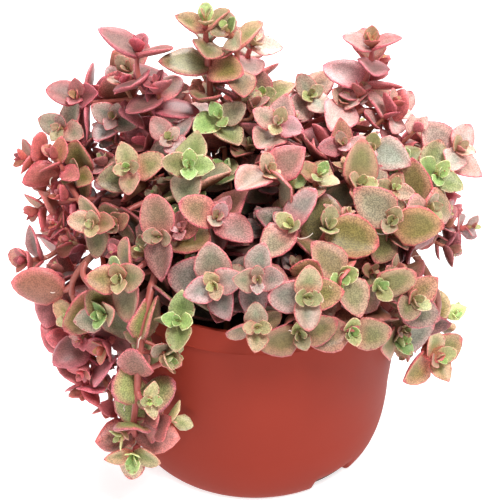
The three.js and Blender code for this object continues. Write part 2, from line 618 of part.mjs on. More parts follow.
function clearLeaf(leaf, index, stems, leaves) {
  const points = [...rootPoints(leaf), ...leafPoints(leaf, CLEARANCE)];
  const blade = points.slice(4);
  const thirds = ([i, j]) => [0, 1 / 3, 2 / 3].map((k) => points[i].clone().lerp(points[j], k));
  if (leaf.edges.flatMap(thirds).some(inPot)) return false;
  const { c, r } = middleOf(blade);
  const near = (o) => o.c.distanceTo(c) < o.r + r + CLEARANCE;
  for (const other of leaves) {
    if (!near(other)) continue;
    const own = other.index === index;
    const parts = [leaf, other].map((l) => (own ? [l.bladeEdges, l.blade] : [l.edges, l.faces]));
    if (meet(points, ...parts[0], other.points, ...parts[1])) return false;
  }
  return stems.every((stem, k) => k === index || stem.prisms.every((p) => !near(p)
    || !meet(points, leaf.edges, leaf.faces, p.points, PRISM_EDGES, PRISM_FACES)));
}

// Where the stem has four corners: at both ends of each leaf pair, at the soil, at its branches, and between
function ringPlan(stem, levels, feet) {
  const plan = [{ distance: stem.line.length, growth: 0 }];
  if (stem.root) plan.push({ distance: stem.line.length - ROOT_DEPTH - ROOT_RISE + 1, growth: 0 });
  levels.forEach((level) => {
    const distance = pairDistance(stem, level);
    const reach = distance < YOUNG_ZONE ? YOUNG_NODE_HALF : NODE_HALF;
    const growth = level === 0 ? BUD_GROWTH : 0;
    plan.push({ distance: distance + reach, level, growth: 0 }, { distance: distance - reach, growth });
  });
  feet.forEach((foot) => {
    const taken = plan.some((ring) => Math.abs(ring.distance - foot) <= 2 * NODE_HALF);
    if (!taken) plan.push({ distance: foot, growth: 0 });
  });
  plan.sort((a, b) => b.distance - a.distance);
  return plan.flatMap((ring, i) => {
    if (i + 1 === plan.length || ring.level !== undefined) return [ring];
    const gap = ring.distance - plan[i + 1].distance;
    const [low, middle, high] = [0, 0.5, 1].map((k) => stem.line.along(ring.distance - gap * k));
    const turn = low.angleTo(middle) + middle.angleTo(high);
    const parts = Math.max(1, Math.ceil(gap / RING_SPACING), Math.ceil(turn / radians(RING_TURN)));
    const step = (k) => ({ distance: ring.distance - (gap * k) / parts, growth: 0 });
    return [ring, ...Array.from({ length: parts - 1 }, (_, k) => step(k + 1))];
  });
}

// A stem's sides face along cross, against side, against cross and along side. Even pairs grow from the
// second and fourth, odd ones from the first and third
const SIDE_SIGNS = [1, -1, -1, 1];

// One closed mesh: the square stem from its root to a pointed bud, with each leaf drawn out of a side
function stemMesh(stem, leaves, feet) {
  const points = [];
  const faces = [];
  const add = (list) => list.map((p) => points.push(p) - 1);
  const own = new Map(leaves.map((l) => [`${l.level}_${l.sign}`, l]));
  const rings = ringPlan(stem, [...new Set(leaves.map((l) => l.level))], feet)
    .map(({ distance, level, growth }) => ({ level, at: add(ringAt(stem, distance, growth)) }));
  const [r0, r1, r2, r3] = rings[0].at;
  faces.push([r0, r2, r1], [r0, r3, r2]);
  for (let k = 0; k + 1 < rings.length; k += 1) {
    const low = rings[k].at;
    const high = rings[k + 1].at;
    const { level } = rings[k];
    for (let j = 0; j < 4; j += 1) {
      const i = (j + 1) % 4;
      const leaf = own.get(`${level}_${SIDE_SIGNS[j]}`);
      if (leaf && level % 2 !== j % 2) {
        const all = [low[j], low[i], high[i], high[j], ...add(leafPoints(leaf, 0))];
        leaf.faces.forEach((f) => faces.push(f.map((n) => all[n])));
      } else {
        faces.push([low[j], low[i], high[i]], [low[j], high[i], high[j]]);
      }
    }
  }
  const f = frameAt(stem, 0);
  const top = rings[rings.length - 1].at;
  const [apex] = add([f.centre.clone().addScaledVector(f.along, BUD_LENGTH)]);
  for (let j = 0; j < 4; j += 1) faces.push([top[j], top[(j + 1) % 4], apex]);
  return geometryFrom(points, faces);
}

function geometryFrom(points, faces) {
  const geometry = new THREE.BufferGeometry();
  geometry.setAttribute('position', new THREE.Float32BufferAttribute(points.flatMap((p) => p.toArray()), 3));
  geometry.setIndex(faces.flat());
  return geometry;
}

function toSolid(geometry) {
  const bare = geometry.clone();
  bare.deleteAttribute('normal');
  bare.deleteAttribute('uv');
  const merged = mergeVertices(bare, 1e-4);
  const vertProperties = new Float32Array(merged.attributes.position.array);
  const triVerts = new Uint32Array(merged.index.array);
  return new wasm.Manifold(new wasm.Mesh({ numProp: 3, vertProperties, triVerts }));
}

function toGeometry(solid) {
  const mesh = solid.getMesh();
  const geometry = new THREE.BufferGeometry();
  const position = new Float32Array((mesh.vertProperties.length / mesh.numProp) * 3);
  for (let i = 0; i < position.length / 3; i += 1) {
    for (let k = 0; k < 3; k += 1) position[3 * i + k] = mesh.vertProperties[i * mesh.numProp + k];
  }
  geometry.setAttribute('position', new THREE.BufferAttribute(position, 3));
  geometry.setIndex(new THREE.BufferAttribute(new Uint32Array(mesh.triVerts), 1));
  return geometry;
}

// A profile of radius and height turned round the Z axis
function turned(profile) {
  const lathe = new THREE.LatheGeometry(profile.map(([r, z]) => new THREE.Vector2(r, z)), ROUND_SIDES);
  lathe.rotateX(Math.PI / 2);
  lathe.deleteAttribute('normal');
  lathe.deleteAttribute('uv');
  return dropEmptyFaces(mergeVertices(lathe, 1e-4));
}

// The axis points of a turned profile leave triangles with two corners in one place
function dropEmptyFaces(geometry) {
  const index = geometry.index.array;
  const kept = [];
  for (let i = 0; i < index.length; i += 3) {
    const [a, b, c] = [index[i], index[i + 1], index[i + 2]];
    if (a !== b && b !== c && c !== a) kept.push(a, b, c);
  }
  geometry.setIndex(kept);
  return geometry;
}

// The rounded foot of the wall, from below, drawn in by the wall's thickness or more. Below the foot it is
// drawn upward, so that only the share WALL_AT_FOOT goes inward there.
function rounding(inset) {
  return Array.from({ length: ROUNDING_STEPS + 1 }, (_, k) => {
    const t = (Math.PI / 2) * (1 - k / ROUNDING_STEPS);
    const across = FOOT_RADIUS + (SHOULDER_RADIUS - FOOT_RADIUS) * Math.cos(t);
    const height = SHOULDER_HEIGHT * (1 - Math.sin(t));
    const inward = WALL_AT_FOOT + (1 - WALL_AT_FOOT) * Math.cos(t);
    return [across - inset * inward, height + inset * Math.sin(t)];
  });
}

const WALL_TOP_RADIUS = RIM_RADIUS - BAND_STEP - BAND_FLARE;
const FLOOR_TOP = FLOOR_LIFT + WALL;

function potSolid() {
  const profile = [
    [0, FLOOR_LIFT],
    [FOOT_RADIUS - FOOT_WIDTH - FOOT_SLOPE, FLOOR_LIFT],
    [FOOT_RADIUS - FOOT_WIDTH, 0],
    ...rounding(0),
    [WALL_TOP_RADIUS, BAND_BOTTOM - BAND_STEP],
    [WALL_TOP_RADIUS + BAND_STEP, BAND_BOTTOM],
    [RIM_RADIUS, POT_HEIGHT],
    [RIM_RADIUS - WALL, POT_HEIGHT],
    [WALL_TOP_RADIUS - WALL, BAND_BOTTOM - WALL],
    ...rounding(WALL).slice(1).reverse(),
    [FOOT_RADIUS - FOOT_SLOPE, FLOOR_TOP],
    [0, FLOOR_TOP],
  ];
  let pot = toSolid(turned(profile));
  for (const degrees of NOTCH_ANGLES) {
    const box = new THREE.BoxGeometry(NOTCH_WIDTH, 2 * NOTCH_REACH, 2 * NOTCH_HEIGHT);
    box.translate(0, -FOOT_RADIUS, 0);
    box.rotateZ(radians(degrees));
    pot = pot.subtract(toSolid(box));
  }
  for (let k = 0; k < DRAIN_COUNT; k += 1) {
    const drill = new THREE.CylinderGeometry(DRAIN_RADIUS, DRAIN_RADIUS, 4 * WALL, DRAIN_SIDES);
    drill.rotateX(Math.PI / 2);
    drill.translate(DRAIN_CIRCLE, 0, FLOOR_LIFT + WALL / 2);
    drill.rotateZ((2 * Math.PI * (k + 0.5)) / DRAIN_COUNT);
    pot = pot.subtract(toSolid(drill));
  }
  return pot;
}

// Low waves on the soil
function soilRelief(x, y) {
  const [a, b, c, d] = SOIL_WAVES;
  const wide = Math.sin(a * x + WAVE_SHIFT) * Math.cos(b * y);
  return SOIL_RELIEF * (wide + WAVE_SHARE * Math.sin(c * y - d * x));
}

function soilSolid(stems) {
  const bottom = FLOOR_TOP + SOIL_GAP;
  const inner = rounding(WALL + SOIL_GAP).slice(1);
  const share = (SOIL_EDGE - SHOULDER_HEIGHT) / (BAND_BOTTOM - WALL - SHOULDER_HEIGHT);
  const edge = SHOULDER_RADIUS + (WALL_TOP_RADIUS - SHOULDER_RADIUS) * share - WALL - SOIL_GAP;
  const top = SOIL_RINGS.map((ring) => [edge * ring, ring === 1 ? SOIL_EDGE : SOIL_TOP]);
  const foot = FOOT_RADIUS - FOOT_SLOPE - SOIL_GAP;
  const soil = turned([[0, bottom], [foot, bottom], ...inner, ...top, [0, SOIL_TOP]]);
  const position = soil.attributes.position;
  for (let i = 0; i < position.count; i += 1) {
    const low = position.getZ(i) < SOIL_TOP;
    if (!low) position.setZ(i, SOIL_TOP + soilRelief(position.getX(i), position.getY(i)));
  }
  let solid = toSolid(soil);
  const half = STEM_HALF_ROOT + HOLE_GAP;
  const bottomOfHole = SOIL_TOP - ROOT_DEPTH - HOLE_GAP;
  const height = ROOT_DEPTH + HOLE_ABOVE;
  for (const stem of stems.filter((s) => s.root)) {
    const hole = new THREE.BoxGeometry(2 * half, 2 * half, height);
    hole.rotateZ(holeAngle(stem));
    hole.translate(stem.root.x, stem.root.y, bottomOfHole + height / 2);
    solid = solid.subtract(toSolid(hole));
  }
  return solid;
}

// A hole is turned as its square stem is
function holeAngle(stem) {
  const f = frameAt(stem, stem.line.length - ROOT_DEPTH / 2);
  return Math.atan2(f.side.y, f.side.x);
}

function material(name, colour, roughness) {
  const m = new THREE.MeshStandardMaterial({ color: colour, roughness, metalness: 0 });
  m.name = name;
  return m;
}

function addPiece(group, name, geometry, look) {
  geometry.translate(POT_AXIS_X, 0, 0);
  const mesh = new THREE.Mesh(geometry, look);
  mesh.name = name;
  group.add(mesh);
}

// The stems that stand by themselves are placed first, then the branches and the rest of the mound
const order = [...STEMS.filter((s) => !s.branch), ...STEMS.filter((s) => s.branch), ...fillStems(STEMS)];
const places = rootPlaces(order);
const standing = [];
order.forEach((stem, i) => {
  const stood = placeLine(stem, places[i], standing);
  if (stood) standing.push(stood);
});
standing.forEach((stem) => {
  stem.prisms = prisms(stem);
});
const leaves = growLeaves(standing);

// A stem and its branches, joined
function plantSolid(node) {
  const parts = standing.map((stem, index) => {
    if (stem.node !== node) return null;
    const feet = standing.filter((s) => s.parent === stem.name).map((s) => s.below);
    return toSolid(stemMesh(stem, leaves.filter((l) => l.index === index), feet));
  });
  return parts.filter((part) => part).reduce((a, b) => a.add(b));
}

const plant = new THREE.Group();
addPiece(plant, 'pot', toGeometry(potSolid()), material('pot_plastic', 0xab463c, 0.5));
addPiece(plant, 'soil', toGeometry(soilSolid(standing)), material('soil_mix', 0x3b2a20, 0.95));
const leafColours = [0x9db07c, 0xb7a79a, 0xc08a90];
[...new Set(standing.map((s) => s.node))].forEach((node, n) => {
  const look = material('leaf', leafColours[n % leafColours.length], 0.55);
  addPiece(plant, `stem_${node}`, toGeometry(plantSolid(node)), look);
});

export default plant;
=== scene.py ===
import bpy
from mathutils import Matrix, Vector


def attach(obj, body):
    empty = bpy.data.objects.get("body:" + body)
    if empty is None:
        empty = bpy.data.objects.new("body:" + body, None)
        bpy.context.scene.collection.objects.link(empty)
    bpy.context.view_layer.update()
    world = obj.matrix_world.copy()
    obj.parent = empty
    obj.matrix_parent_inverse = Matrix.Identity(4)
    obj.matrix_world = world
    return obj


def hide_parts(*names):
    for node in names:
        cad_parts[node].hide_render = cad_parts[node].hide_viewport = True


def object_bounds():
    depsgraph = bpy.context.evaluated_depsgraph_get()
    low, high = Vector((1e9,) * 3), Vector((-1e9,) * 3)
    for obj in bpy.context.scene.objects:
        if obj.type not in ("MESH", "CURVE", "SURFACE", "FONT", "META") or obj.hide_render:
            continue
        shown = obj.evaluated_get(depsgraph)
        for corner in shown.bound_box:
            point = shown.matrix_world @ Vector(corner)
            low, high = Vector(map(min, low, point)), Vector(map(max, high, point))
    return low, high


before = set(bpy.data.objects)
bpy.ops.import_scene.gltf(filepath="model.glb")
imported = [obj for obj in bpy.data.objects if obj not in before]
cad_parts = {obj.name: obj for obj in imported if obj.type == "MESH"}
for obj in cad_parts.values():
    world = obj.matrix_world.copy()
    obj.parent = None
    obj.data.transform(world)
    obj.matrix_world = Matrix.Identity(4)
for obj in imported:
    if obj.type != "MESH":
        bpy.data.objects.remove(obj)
cad_box = [list(corner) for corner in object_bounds()]

import itertools
import math

import bpy
import numpy as np

# A trailing succulent in a nursery pot. Lengths are millimetres from the pot's axis until a piece is made,
# and +Z is up. The stems and leaves follow the growth rule that shaped the solids, so each finer leaf lies
# where its solid is.

MM = 0.001
POT_AXIS_X = 3.9

# The pot
RIM_RADIUS = 52.5
POT_HEIGHT = 80.0
BAND_BOTTOM = 71.7
BAND_STEP = 0.45
BAND_FLARE = 0.3
SHOULDER_RADIUS = 47.9
SHOULDER_HEIGHT = 24.5
FOOT_RADIUS = 41.5
FOOT_WIDTH = 3.0
FOOT_SLOPE = 2.0
FLOOR_LIFT = 3.2
WALL = 1.4
WALL_AT_FOOT = 0.1
NOTCH_WIDTH = 15.0
NOTCH_HEIGHT = 4.0
NOTCH_END = 0.7
NOTCH_ANGLES = (-52.5, 67.5, 187.5)
DRAIN_RADIUS = 3.5
DRAIN_CIRCLE = 24.0
DRAIN_COUNT = 4

# The soil
SOIL_TOP = 70.0
SOIL_GAP = 0.3
SOIL_EDGE = 68.0
ROOT_DEPTH = 8.0
ROOT_RISE = 3.5
ROOT_CIRCLE = 43.0
ROOT_SPREAD = 0.62
ROOT_SPACING = 8.0
SPACING_ROUNDS = 80

# The stems
OVER_RIM = {
    "reach": 46.0, "below": 104.0, "radius": 47.0, "height": 90.0, "crest": 96.0, "drop": 60.0, "share": 0.45,
}
BOW = {"share": 0.4, "rise": 6.0, "back": 2.0}
BRANCH_RISE = 3.0
TIP_LEAD = 10.0
TIP_LEAD_SHARE = 0.3
STEM_HALF_TIP = 0.75
STEM_HALF_ROOT = 1.15
STEM_TAPER_LENGTH = 50.0
CURVE_STEPS = 8
LOOK_AHEAD = 1.0
FRAME_STEP = 2.0
SKIPPED_START = 3.0

# Each pair of leaves: its distance below the tip, its length as a share of the stem's largest leaf, and how
# far it opens from the stem, in degrees
PAIRS = (
    (2.6, 0.42, 42), (5.2, 0.64, 60), (9.5, 0.86, 72), (17, 1, 84),
    (27, 1, 92), (38, 0.95, 98), (50, 0.95, 98), (62, 0.95, 98),
)

# The stems, one by one: name, tip, where the tip looks (degrees right of the front and above level), turn of
# the first pair, length of the largest leaf, pairs, tone of the top, and what more it has.
# PAIRS left out at the tip, spread the share of the usual spacing, and lift the degrees that are added to the
# opening for each pair further down. A branch grows off a stem nearby if it can, and via are points on the
# way up.
STEMS = (
    ("trailer", (-40, -56, 31), (-5, 0), 0, 15, 7, "fresh", {
        "skip": 1,
        "lift": 9,
        "via": ((-29, -30, 93), (-33, -44, 88), (-36, -52, 74), (-37.5, -53.5, 58), (-39.5, -52, 40)),
    }),
    ("spire", (-16, 16, 154), (0, 80), 90, 15, 6, "sage", {"spread": 1.1}),
    ("plum_top", (-38, 20, 142), (170, 78), 0, 16, 4, "wine", {"skip": 2, "spread": 1.15}),
    ("crown", (2, 18, 125), (0, 52), 0, 15, 5, "sage", {}),
    ("leaner", (-10, 14, 151), (-40, 58), 60, 14, 3, "sage", {"spread": 1.2}),
    ("back_leaner", (0, 28, 140), (60, 70), 120, 15, 4, "cream", {"skip": 1, "spread": 1.2}),
    ("right_spire", (38, 25, 141), (0, 84), 0, 15, 5, "dusk", {"skip": 1, "spread": 1.15}),
    ("left_crown", (-47, 15, 118), (-10, 45), 72, 14, 4, "grey", {}),
    ("left_brow", (-66, 18, 112), (-30, 35), 85, 14, 4, "grey", {}),
    ("left_edge", (-79, 12, 104), (-85, 15), 70, 12, 4, "ember", {"spread": 0.9}),
    ("left_low_edge", (-76, 5, 86), (-75, -15), 60, 13, 4, "ember", {}),
    ("bright", (-12, 7, 123), (-8, 52), 126, 15, 5, "vivid", {}),
    ("grey", (7, -1, 125), (0, 50), 68, 15, 5, "grey", {"spread": 0.95}),
    ("bright_front", (-21, -17, 119), (0, 48), 90, 15, 5, "vivid", {"spread": 0.95}),
    ("dark_left", (-41, -11, 114), (-15, 42), 20, 13, 4, "sage", {"spread": 0.9}),
    ("small_green", (20, -18, 117), (15, 62), 45, 12, 4, "fresh", {}),
    ("bright_right", (46, -2, 112), (10, 50), 30, 12, 4, "vivid", {"spread": 0.9}),
    ("right_crown", (60, -3, 107), (30, 42), 45, 15, 5, "vivid", {"spread": 0.95}),
    ("right_dark", (60, 20, 107), (50, 55), 90, 14, 4, "rose", {"skip": 1, "branch": True}),
    ("green_bud", (44, -16, 110), (10, 50), 70, 11, 4, "sage", {"spread": 0.9}),
    ("front_star", (0, -56, 103), (0, 33), 90, 13, 5, "grey", {"spread": 0.85}),
    ("front_low", (0, -61, 89), (0, 28), 0, 13, 4, "sage", {"spread": 0.85}),
    ("left_low", (-24, -55, 87), (-15, 33), 0, 15, 5, "vivid", {"spread": 0.9}),
    ("left_reach", (-73, -8, 66), (-40, 20), 100, 16, 5, "grey", {"spread": 1.15, "branch": True}),
    ("left_green", (-62, -22, 63), (-20, 38), 55, 13, 4, "sage", {"spread": 0.9}),
    ("right_low", (63, -20, 44), (28, 25), 10, 16, 4, "sage", {"spread": 0.9}),
    ("right_green", (70, -4, 51), (45, 35), 30, 11, 4, "vivid", {"spread": 1.25, "branch": True}),
    ("four_leaf", (10, -37, 110), (-25, 55), 75, 15, 3, "grey", {"skip": 2}),
    ("broad_right", (22, -36, 109), (25, 62), -25, 17, 3, "olive", {"skip": 3}),
    ("oval_right", (42, -29, 106), (0, 40), -28, 16, 3, "olive", {"skip": 3}),
    ("oval_far", (56, -18, 104), (40, 30), -15, 15, 3, "olive", {"skip": 3, "branch": True}),
    ("fork", (-30, -38, 106), (-20, 35), 100, 16, 3, "pink", {"skip": 2}),
    ("mauve", (-12, -34, 111), (10, 55), 150, 15, 3, "pink", {"skip": 2}),
    ("pink_back", (30, 22, 120), (0, 60), 60, 17, 3, "rose", {"skip": 2, "branch": True}),
    ("cream_heart", (37, -2, 116), (-15, 40), 170, 15, 3, "cream", {"skip": 2, "branch": True}),
    ("low_green", (26, -48, 98), (5, 30), -60, 16, 3, "sage", {"skip": 2}),
    ("low_green_right", (38, -46, 93), (30, 45), 20, 14, 4, "sage", {"skip": 2, "branch": True}),
    ("rim_right", (46, -42, 69), (40, 20), 0, 16, 3, "sage", {"skip": 2, "branch": True}),
    ("rim_middle", (13, -58, 84), (10, 20), 10, 15, 3, "olive", {"skip": 2, "branch": True}),
    ("plum_hang", (-58, -30, 37), (-40, -55), 20, 15, 4, "plum", {"skip": 1}),
    ("shelf", (-61, 8, 101), (-40, 45), 10, 15, 4, "olive", {"skip": 1, "branch": True}),
    ("centre_low", (-13, -52, 98), (-15, 25), 30, 15, 4, "grey", {"skip": 1}),
    ("crest_left", (-30, 25, 120), (-10, 50), 20, 14, 4, "cream", {"skip": 1}),
    ("crest_right", (19, 25, 121), (10, 50), 120, 14, 4, "cream", {"skip": 1}),
    ("crest_far", (48, 22, 116), (20, 45), 40, 14, 4, "cream", {"skip": 1, "branch": True}),
    ("brow_left", (-28, 3, 117), (-10, 45), 140, 14, 4, "cream", {"skip": 1, "branch": True}),
    ("brow_right", (28, 0, 117), (10, 55), 10, 13, 3, "pink", {"skip": 1, "branch": True}),
    ("left_inner", (-52, -22, 100), (-25, 30), 10, 14, 3, "olive", {"skip": 1, "branch": True}),
    ("rim_bud", (-27, -54, 71), (0, 30), 0, 10, 3, "fresh", {"spread": 0.9, "branch": True}),
    ("trailer_bud", (-33, -62, 61), (0, 30), 0, 10, 3, "fresh", {"spread": 0.8, "branch": True}),
    ("far_right", (74, 2, 83), (60, 25), 30, 11, 4, "grey", {"spread": 1.2, "branch": True}),
    ("plum_side", (-64, -20, 49), (-60, -25), 60, 14, 3, "plum", {"skip": 1, "branch": True}),
    ("plum_inner", (-49, -40, 38), (-20, -50), 60, 15, 3, "plum", {"skip": 1, "branch": True}),
    ("rim_green", (29, -54, 82), (20, 20), 0, 15, 3, "sage", {"skip": 2, "branch": True}),
    ("gap_left", (-42, -46, 96), (-20, 30), 15, 16, 4, "olive", {"skip": 1, "branch": True}),
    ("gap_outer", (-49, -43, 80), (-35, 20), 30, 15, 4, "sage", {"skip": 1, "branch": True}),
    ("curtain", (-50, -38, 62), (-40, -10), 20, 14, 4, "plum", {"skip": 1, "branch": True}),
    ("plum_outer", (-67, -15, 42), (-60, -30), 0, 15, 4, "plum", {"skip": 1, "branch": True}),
    ("left_far", (-78, -8, 76), (-60, 10), 20, 14, 4, "ember", {"skip": 1, "branch": True}),
    ("middle_top", (4, -20, 119), (5, 55), 20, 16, 3, "pink", {"skip": 2, "branch": True}),
    ("middle_right", (33, -17, 112), (20, 55), 70, 16, 3, "olive", {"skip": 2, "branch": True}),
    ("middle_low", (15, -57, 97), (10, 25), 80, 15, 4, "grey", {"skip": 1}),
    ("right_side", (49, -46, 88), (35, 25), 30, 15, 4, "olive", {"skip": 1}),
    ("crest_gap", (36, 30, 118), (10, 50), 0, 16, 4, "cream", {"skip": 1, "branch": True}),
    ("left_top", (-60, 24, 121), (-35, 45), 20, 16, 4, "plum", {"skip": 1, "branch": True}),
    ("left_back", (-43, 32, 127), (-20, 60), 60, 16, 4, "pink", {"skip": 1, "branch": True}),
    ("right_top", (68, 10, 109), (50, 40), 20, 16, 4, "rose", {"skip": 1, "branch": True}),
)

# The rest of the mound: tips spread over an ellipsoid by the golden angle, clear of those above
MOUND_CENTRE = (0, 0, 70)
MOUND_HALF_AXES = (73, 65, 50)
MOUND_POINTS = 110
MOUND_REACH = 1.3
MOUND_FRONT_HEIGHT = 0.25
MOUND_FRONT_EDGE = 0.1
MOUND_DEPTHS = (0.95, 1.07)
MOUND_FIRST_TURN = 0.7
MOUND_UPTURN = 0.35
TIP_SPACING = 19.0
FILL_COUNT = 13
FILL_PAIRS = 4
FILL_SIZES = (15, 18)
FILL_TONES = ("grey", "rose", "sage", "pink", "cream")
FILL_SEED = 7
LEAF_SEED = 15

# How a leaf may differ from its pair's rule, the more the older it is, and what it tries, in this order,
# until it is clear of what stands already: degrees more open, degrees sideways, and its share of the usual
# length
LEAF_JITTER = {"open": 16, "yaw": 16, "roll": 26, "size": 0.08}
JITTER_MOST = 1.4
JITTER_AGE = 2
LEAF_TRIES = np.array((
    (0, 0, 1), (-10, 0, 1), (10, 0, 1), (0, 16, 1), (0, -16, 1), (-18, 0, 0.92), (18, 0, 0.92),
    (-10, 18, 0.9), (-10, -18, 0.9), (12, 18, 0.85), (12, -18, 0.85), (0, 0, 0.8), (-28, 0, 0.8),
    (26, 0, 0.8), (-20, 28, 0.75), (-20, -28, 0.75), (20, 28, 0.75), (20, -28, 0.75), (0, 0, 0.62),
    (-35, 0, 0.6), (30, 0, 0.6), (0, 40, 0.75), (0, -40, 0.75), (-45, 0, 0.8), (42, 0, 0.75), (0, 0, 0.5),
))
YOUNG_PLAY = 12
BARE_ABOVE_ROOT = 12.0
BARE_ABOVE_FOOT = 6.0
LEAF_BEND = 0.1
LEAF_TIP_LIFT = 0.06
LEAF_WIDTH = 0.88
LEAF_CUP = 0.16
TIP_MATCH = 0.03

# What a stem tries, in this order, until it is clear of what stands already
ROOT_TURNS = (0, 8, -8, 16, -16, 26, -26, 38, -38, 52, -52)
ROOT_PULLS = (1, 0.85, 0.7, 0.55, 0.4)
ROOT_CLEAR = 4.6
STEM_CLEAR = 2.9
BRANCH_SHARES = (1, 0.8, 1.25, 0.6, 1.5, 1.8)
BRANCH_REACH = 60.0
BRANCH_ROOT = 5
BRANCH_PARENTS = 6
BRANCH_USUAL = (12.0, 0.9)
STEM_SAMPLE = 1.5
ROOT_SAMPLES = 9
STEM_ROOM = {"inside": 4.5, "outside": 2.2}
LEAF_ROOM = {"inside": 3.9, "outside": 0.8, "soil": 4.0, "band": 2.0, "table": 1.0}

UP = np.array((0.0, 0.0, 1.0))


# The growth rule

STREAM_STEP = 0x6D2B79F5


def unit(v):
    """The vectors scaled to length one."""
    return v / np.linalg.norm(v, axis=-1, keepdims=True)


def squared(side, along):
    """The side made square to a direction and one long again."""
    side = side - along * side.dot(along)
    return side / math.sqrt(side.dot(side))


def random_stream(seed):
    """Numbers from 0 to 1: a 32-bit counter whose bits are mixed by two multiplications."""
    mask = 0xFFFFFFFF
    state = seed & mask
    while True:
        state = (state + STREAM_STEP) & mask
        t = state
        t = ((t ^ (t >> 15)) * (t | 1)) & mask
        t ^= (t + (((t ^ (t >> 7)) * (t | 61)) & mask)) & mask
        yield ((t ^ (t >> 14)) & mask) / 2**32


def facing(right, above):
    """The direction so many degrees to the right of the front and above level."""
    a, e = math.radians(right), math.radians(above)
    return np.array((math.sin(a) * math.cos(e), -math.cos(a) * math.cos(e), math.sin(e)))


def stem_row(name, tip, face, roll, size, pairs, tone, more):
    """A row of the table by its words, with the usual values where it has none of its own."""
    usual = {"skip": 0, "spread": 1.0, "lift": 0.0, "branch": False, "via": ()}
    row = {"name": name, "tip": np.array(tip, float), "face": face, "roll": roll, "size": size}
    return {**row, "pairs": pairs, "tone": tone, **usual, **more}


def fill_stems(placed):
    """Stems that fill the rest of the mound, but for the low part of its front: points on a unit sphere at
    even steps of height, each the golden angle on from the last, stretched to the mound's half axes."""
    draw = random_stream(FILL_SEED)
    golden = math.pi * (3 - math.sqrt(5))
    axes, centre = np.array(MOUND_HALF_AXES, float), np.array(MOUND_CENTRE, float)
    tips = [stem["tip"] for stem in placed]
    fill = []
    for i in range(MOUND_POINTS):
        if len(fill) == FILL_COUNT:
            break
        height = 1 - MOUND_REACH * (i + 0.5) / MOUND_POINTS
        across = math.sqrt(max(0, 1 - height * height))
        turn = golden * i + MOUND_FIRST_TURN
        point = np.array((across * math.cos(turn), across * math.sin(turn), height))
        depth, roll, size = (
            low + (high - low) * next(draw) for low, high in (MOUND_DEPTHS, (0, 180), FILL_SIZES)
        )
        tip = point * axes * depth + centre
        frontal = point[1] < MOUND_FRONT_EDGE and height < MOUND_FRONT_HEIGHT
        if frontal or min(np.linalg.norm(t - tip) for t in tips) < TIP_SPACING:
            continue
        look = unit(unit(point / axes) + MOUND_UPTURN * UP)
        face = (math.degrees(math.atan2(look[0], -look[1])), math.degrees(math.asin(look[2])))
        name, tone = f"mound_{len(fill) + 1}", FILL_TONES[len(fill) % len(FILL_TONES)]
        fill.append(stem_row(name, tip, face, roll, size, FILL_PAIRS, tone, {"branch": True}))
        tips.append(tip)
    return fill


def root_places(stems):
    """Roots start below their tips, drawn towards the middle, and push each other apart."""
    tips = np.array([stem["tip"][:2] for stem in stems])
    reach = np.linalg.norm(tips, axis=1, keepdims=True)
    places = tips / reach * np.minimum(ROOT_CIRCLE - 1, ROOT_SPREAD * reach)
    for _ in range(SPACING_ROUNDS):
        away = places[:, None] - places[None]
        distance = np.linalg.norm(away, axis=2)
        np.fill_diagonal(distance, ROOT_SPACING)
        push = np.where(distance < ROOT_SPACING, (ROOT_SPACING / distance - 1) / 2, 0)
        places = places + (away * push[:, :, None]).sum(1)
        reach = np.linalg.norm(places, axis=1, keepdims=True)
        places = places * np.minimum(1, ROOT_CIRCLE / reach)
    return places


class StemLine:
    """A smooth line through points, measured from the tip down. Each span is a cubic whose end slopes come
    from its neighbours, with knots spaced by the root of each chord."""

    def __init__(self, points):
        p = np.array(points, float)
        p = np.vstack((2 * p[0] - p[1], p, 2 * p[-1] - p[-2]))
        a, b, c, d = p[:-3], p[1:-2], p[2:-1], p[3:]
        ab, bc, cd = (np.sqrt(np.linalg.norm(v, axis=1))[:, None] for v in (b - a, c - b, d - c))
        start = bc * ((b - a) / ab - (c - a) / (ab + bc) + (c - b) / bc)
        end = bc * ((c - b) / bc - (d - b) / (bc + cd) + (d - c) / cd)
        t = (np.arange(CURVE_STEPS) / CURVE_STEPS)[None, :, None]
        b, c, start, end = (v[:, None] for v in (b, c, start, end))
        curve = b + start * t + (3 * c - 3 * b - 2 * start - end) * t**2
        curve = curve + (2 * b - 2 * c + start + end) * t**3
        self.points = np.vstack((p[-2], curve.reshape(-1, 3)[::-1]))
        steps = np.linalg.norm(np.diff(self.points, axis=0), axis=1)
        self.distances = np.concatenate(((0,), np.cumsum(steps)))
        self.length = self.distances[-1]

    def at(self, distance):
        """The places at these distances below the tip."""
        columns = [np.interp(distance, self.distances, self.points[:, k]) for k in range(3)]
        return np.stack(columns, axis=-1)

    def along(self, distance):
        """The directions towards the tip."""
        distance = np.asarray(distance, float)
        above = self.at(np.maximum(distance - LOOK_AHEAD, 0))
        return unit(above - self.at(np.minimum(distance + LOOK_AHEAD, self.length)))

    def half(self, distance):
        """Half the stem's thickness, which grows from the tip down."""
        share = np.minimum(1, np.asarray(distance) / STEM_TAPER_LENGTH)
        return STEM_HALF_TIP + (STEM_HALF_ROOT - STEM_HALF_TIP) * share


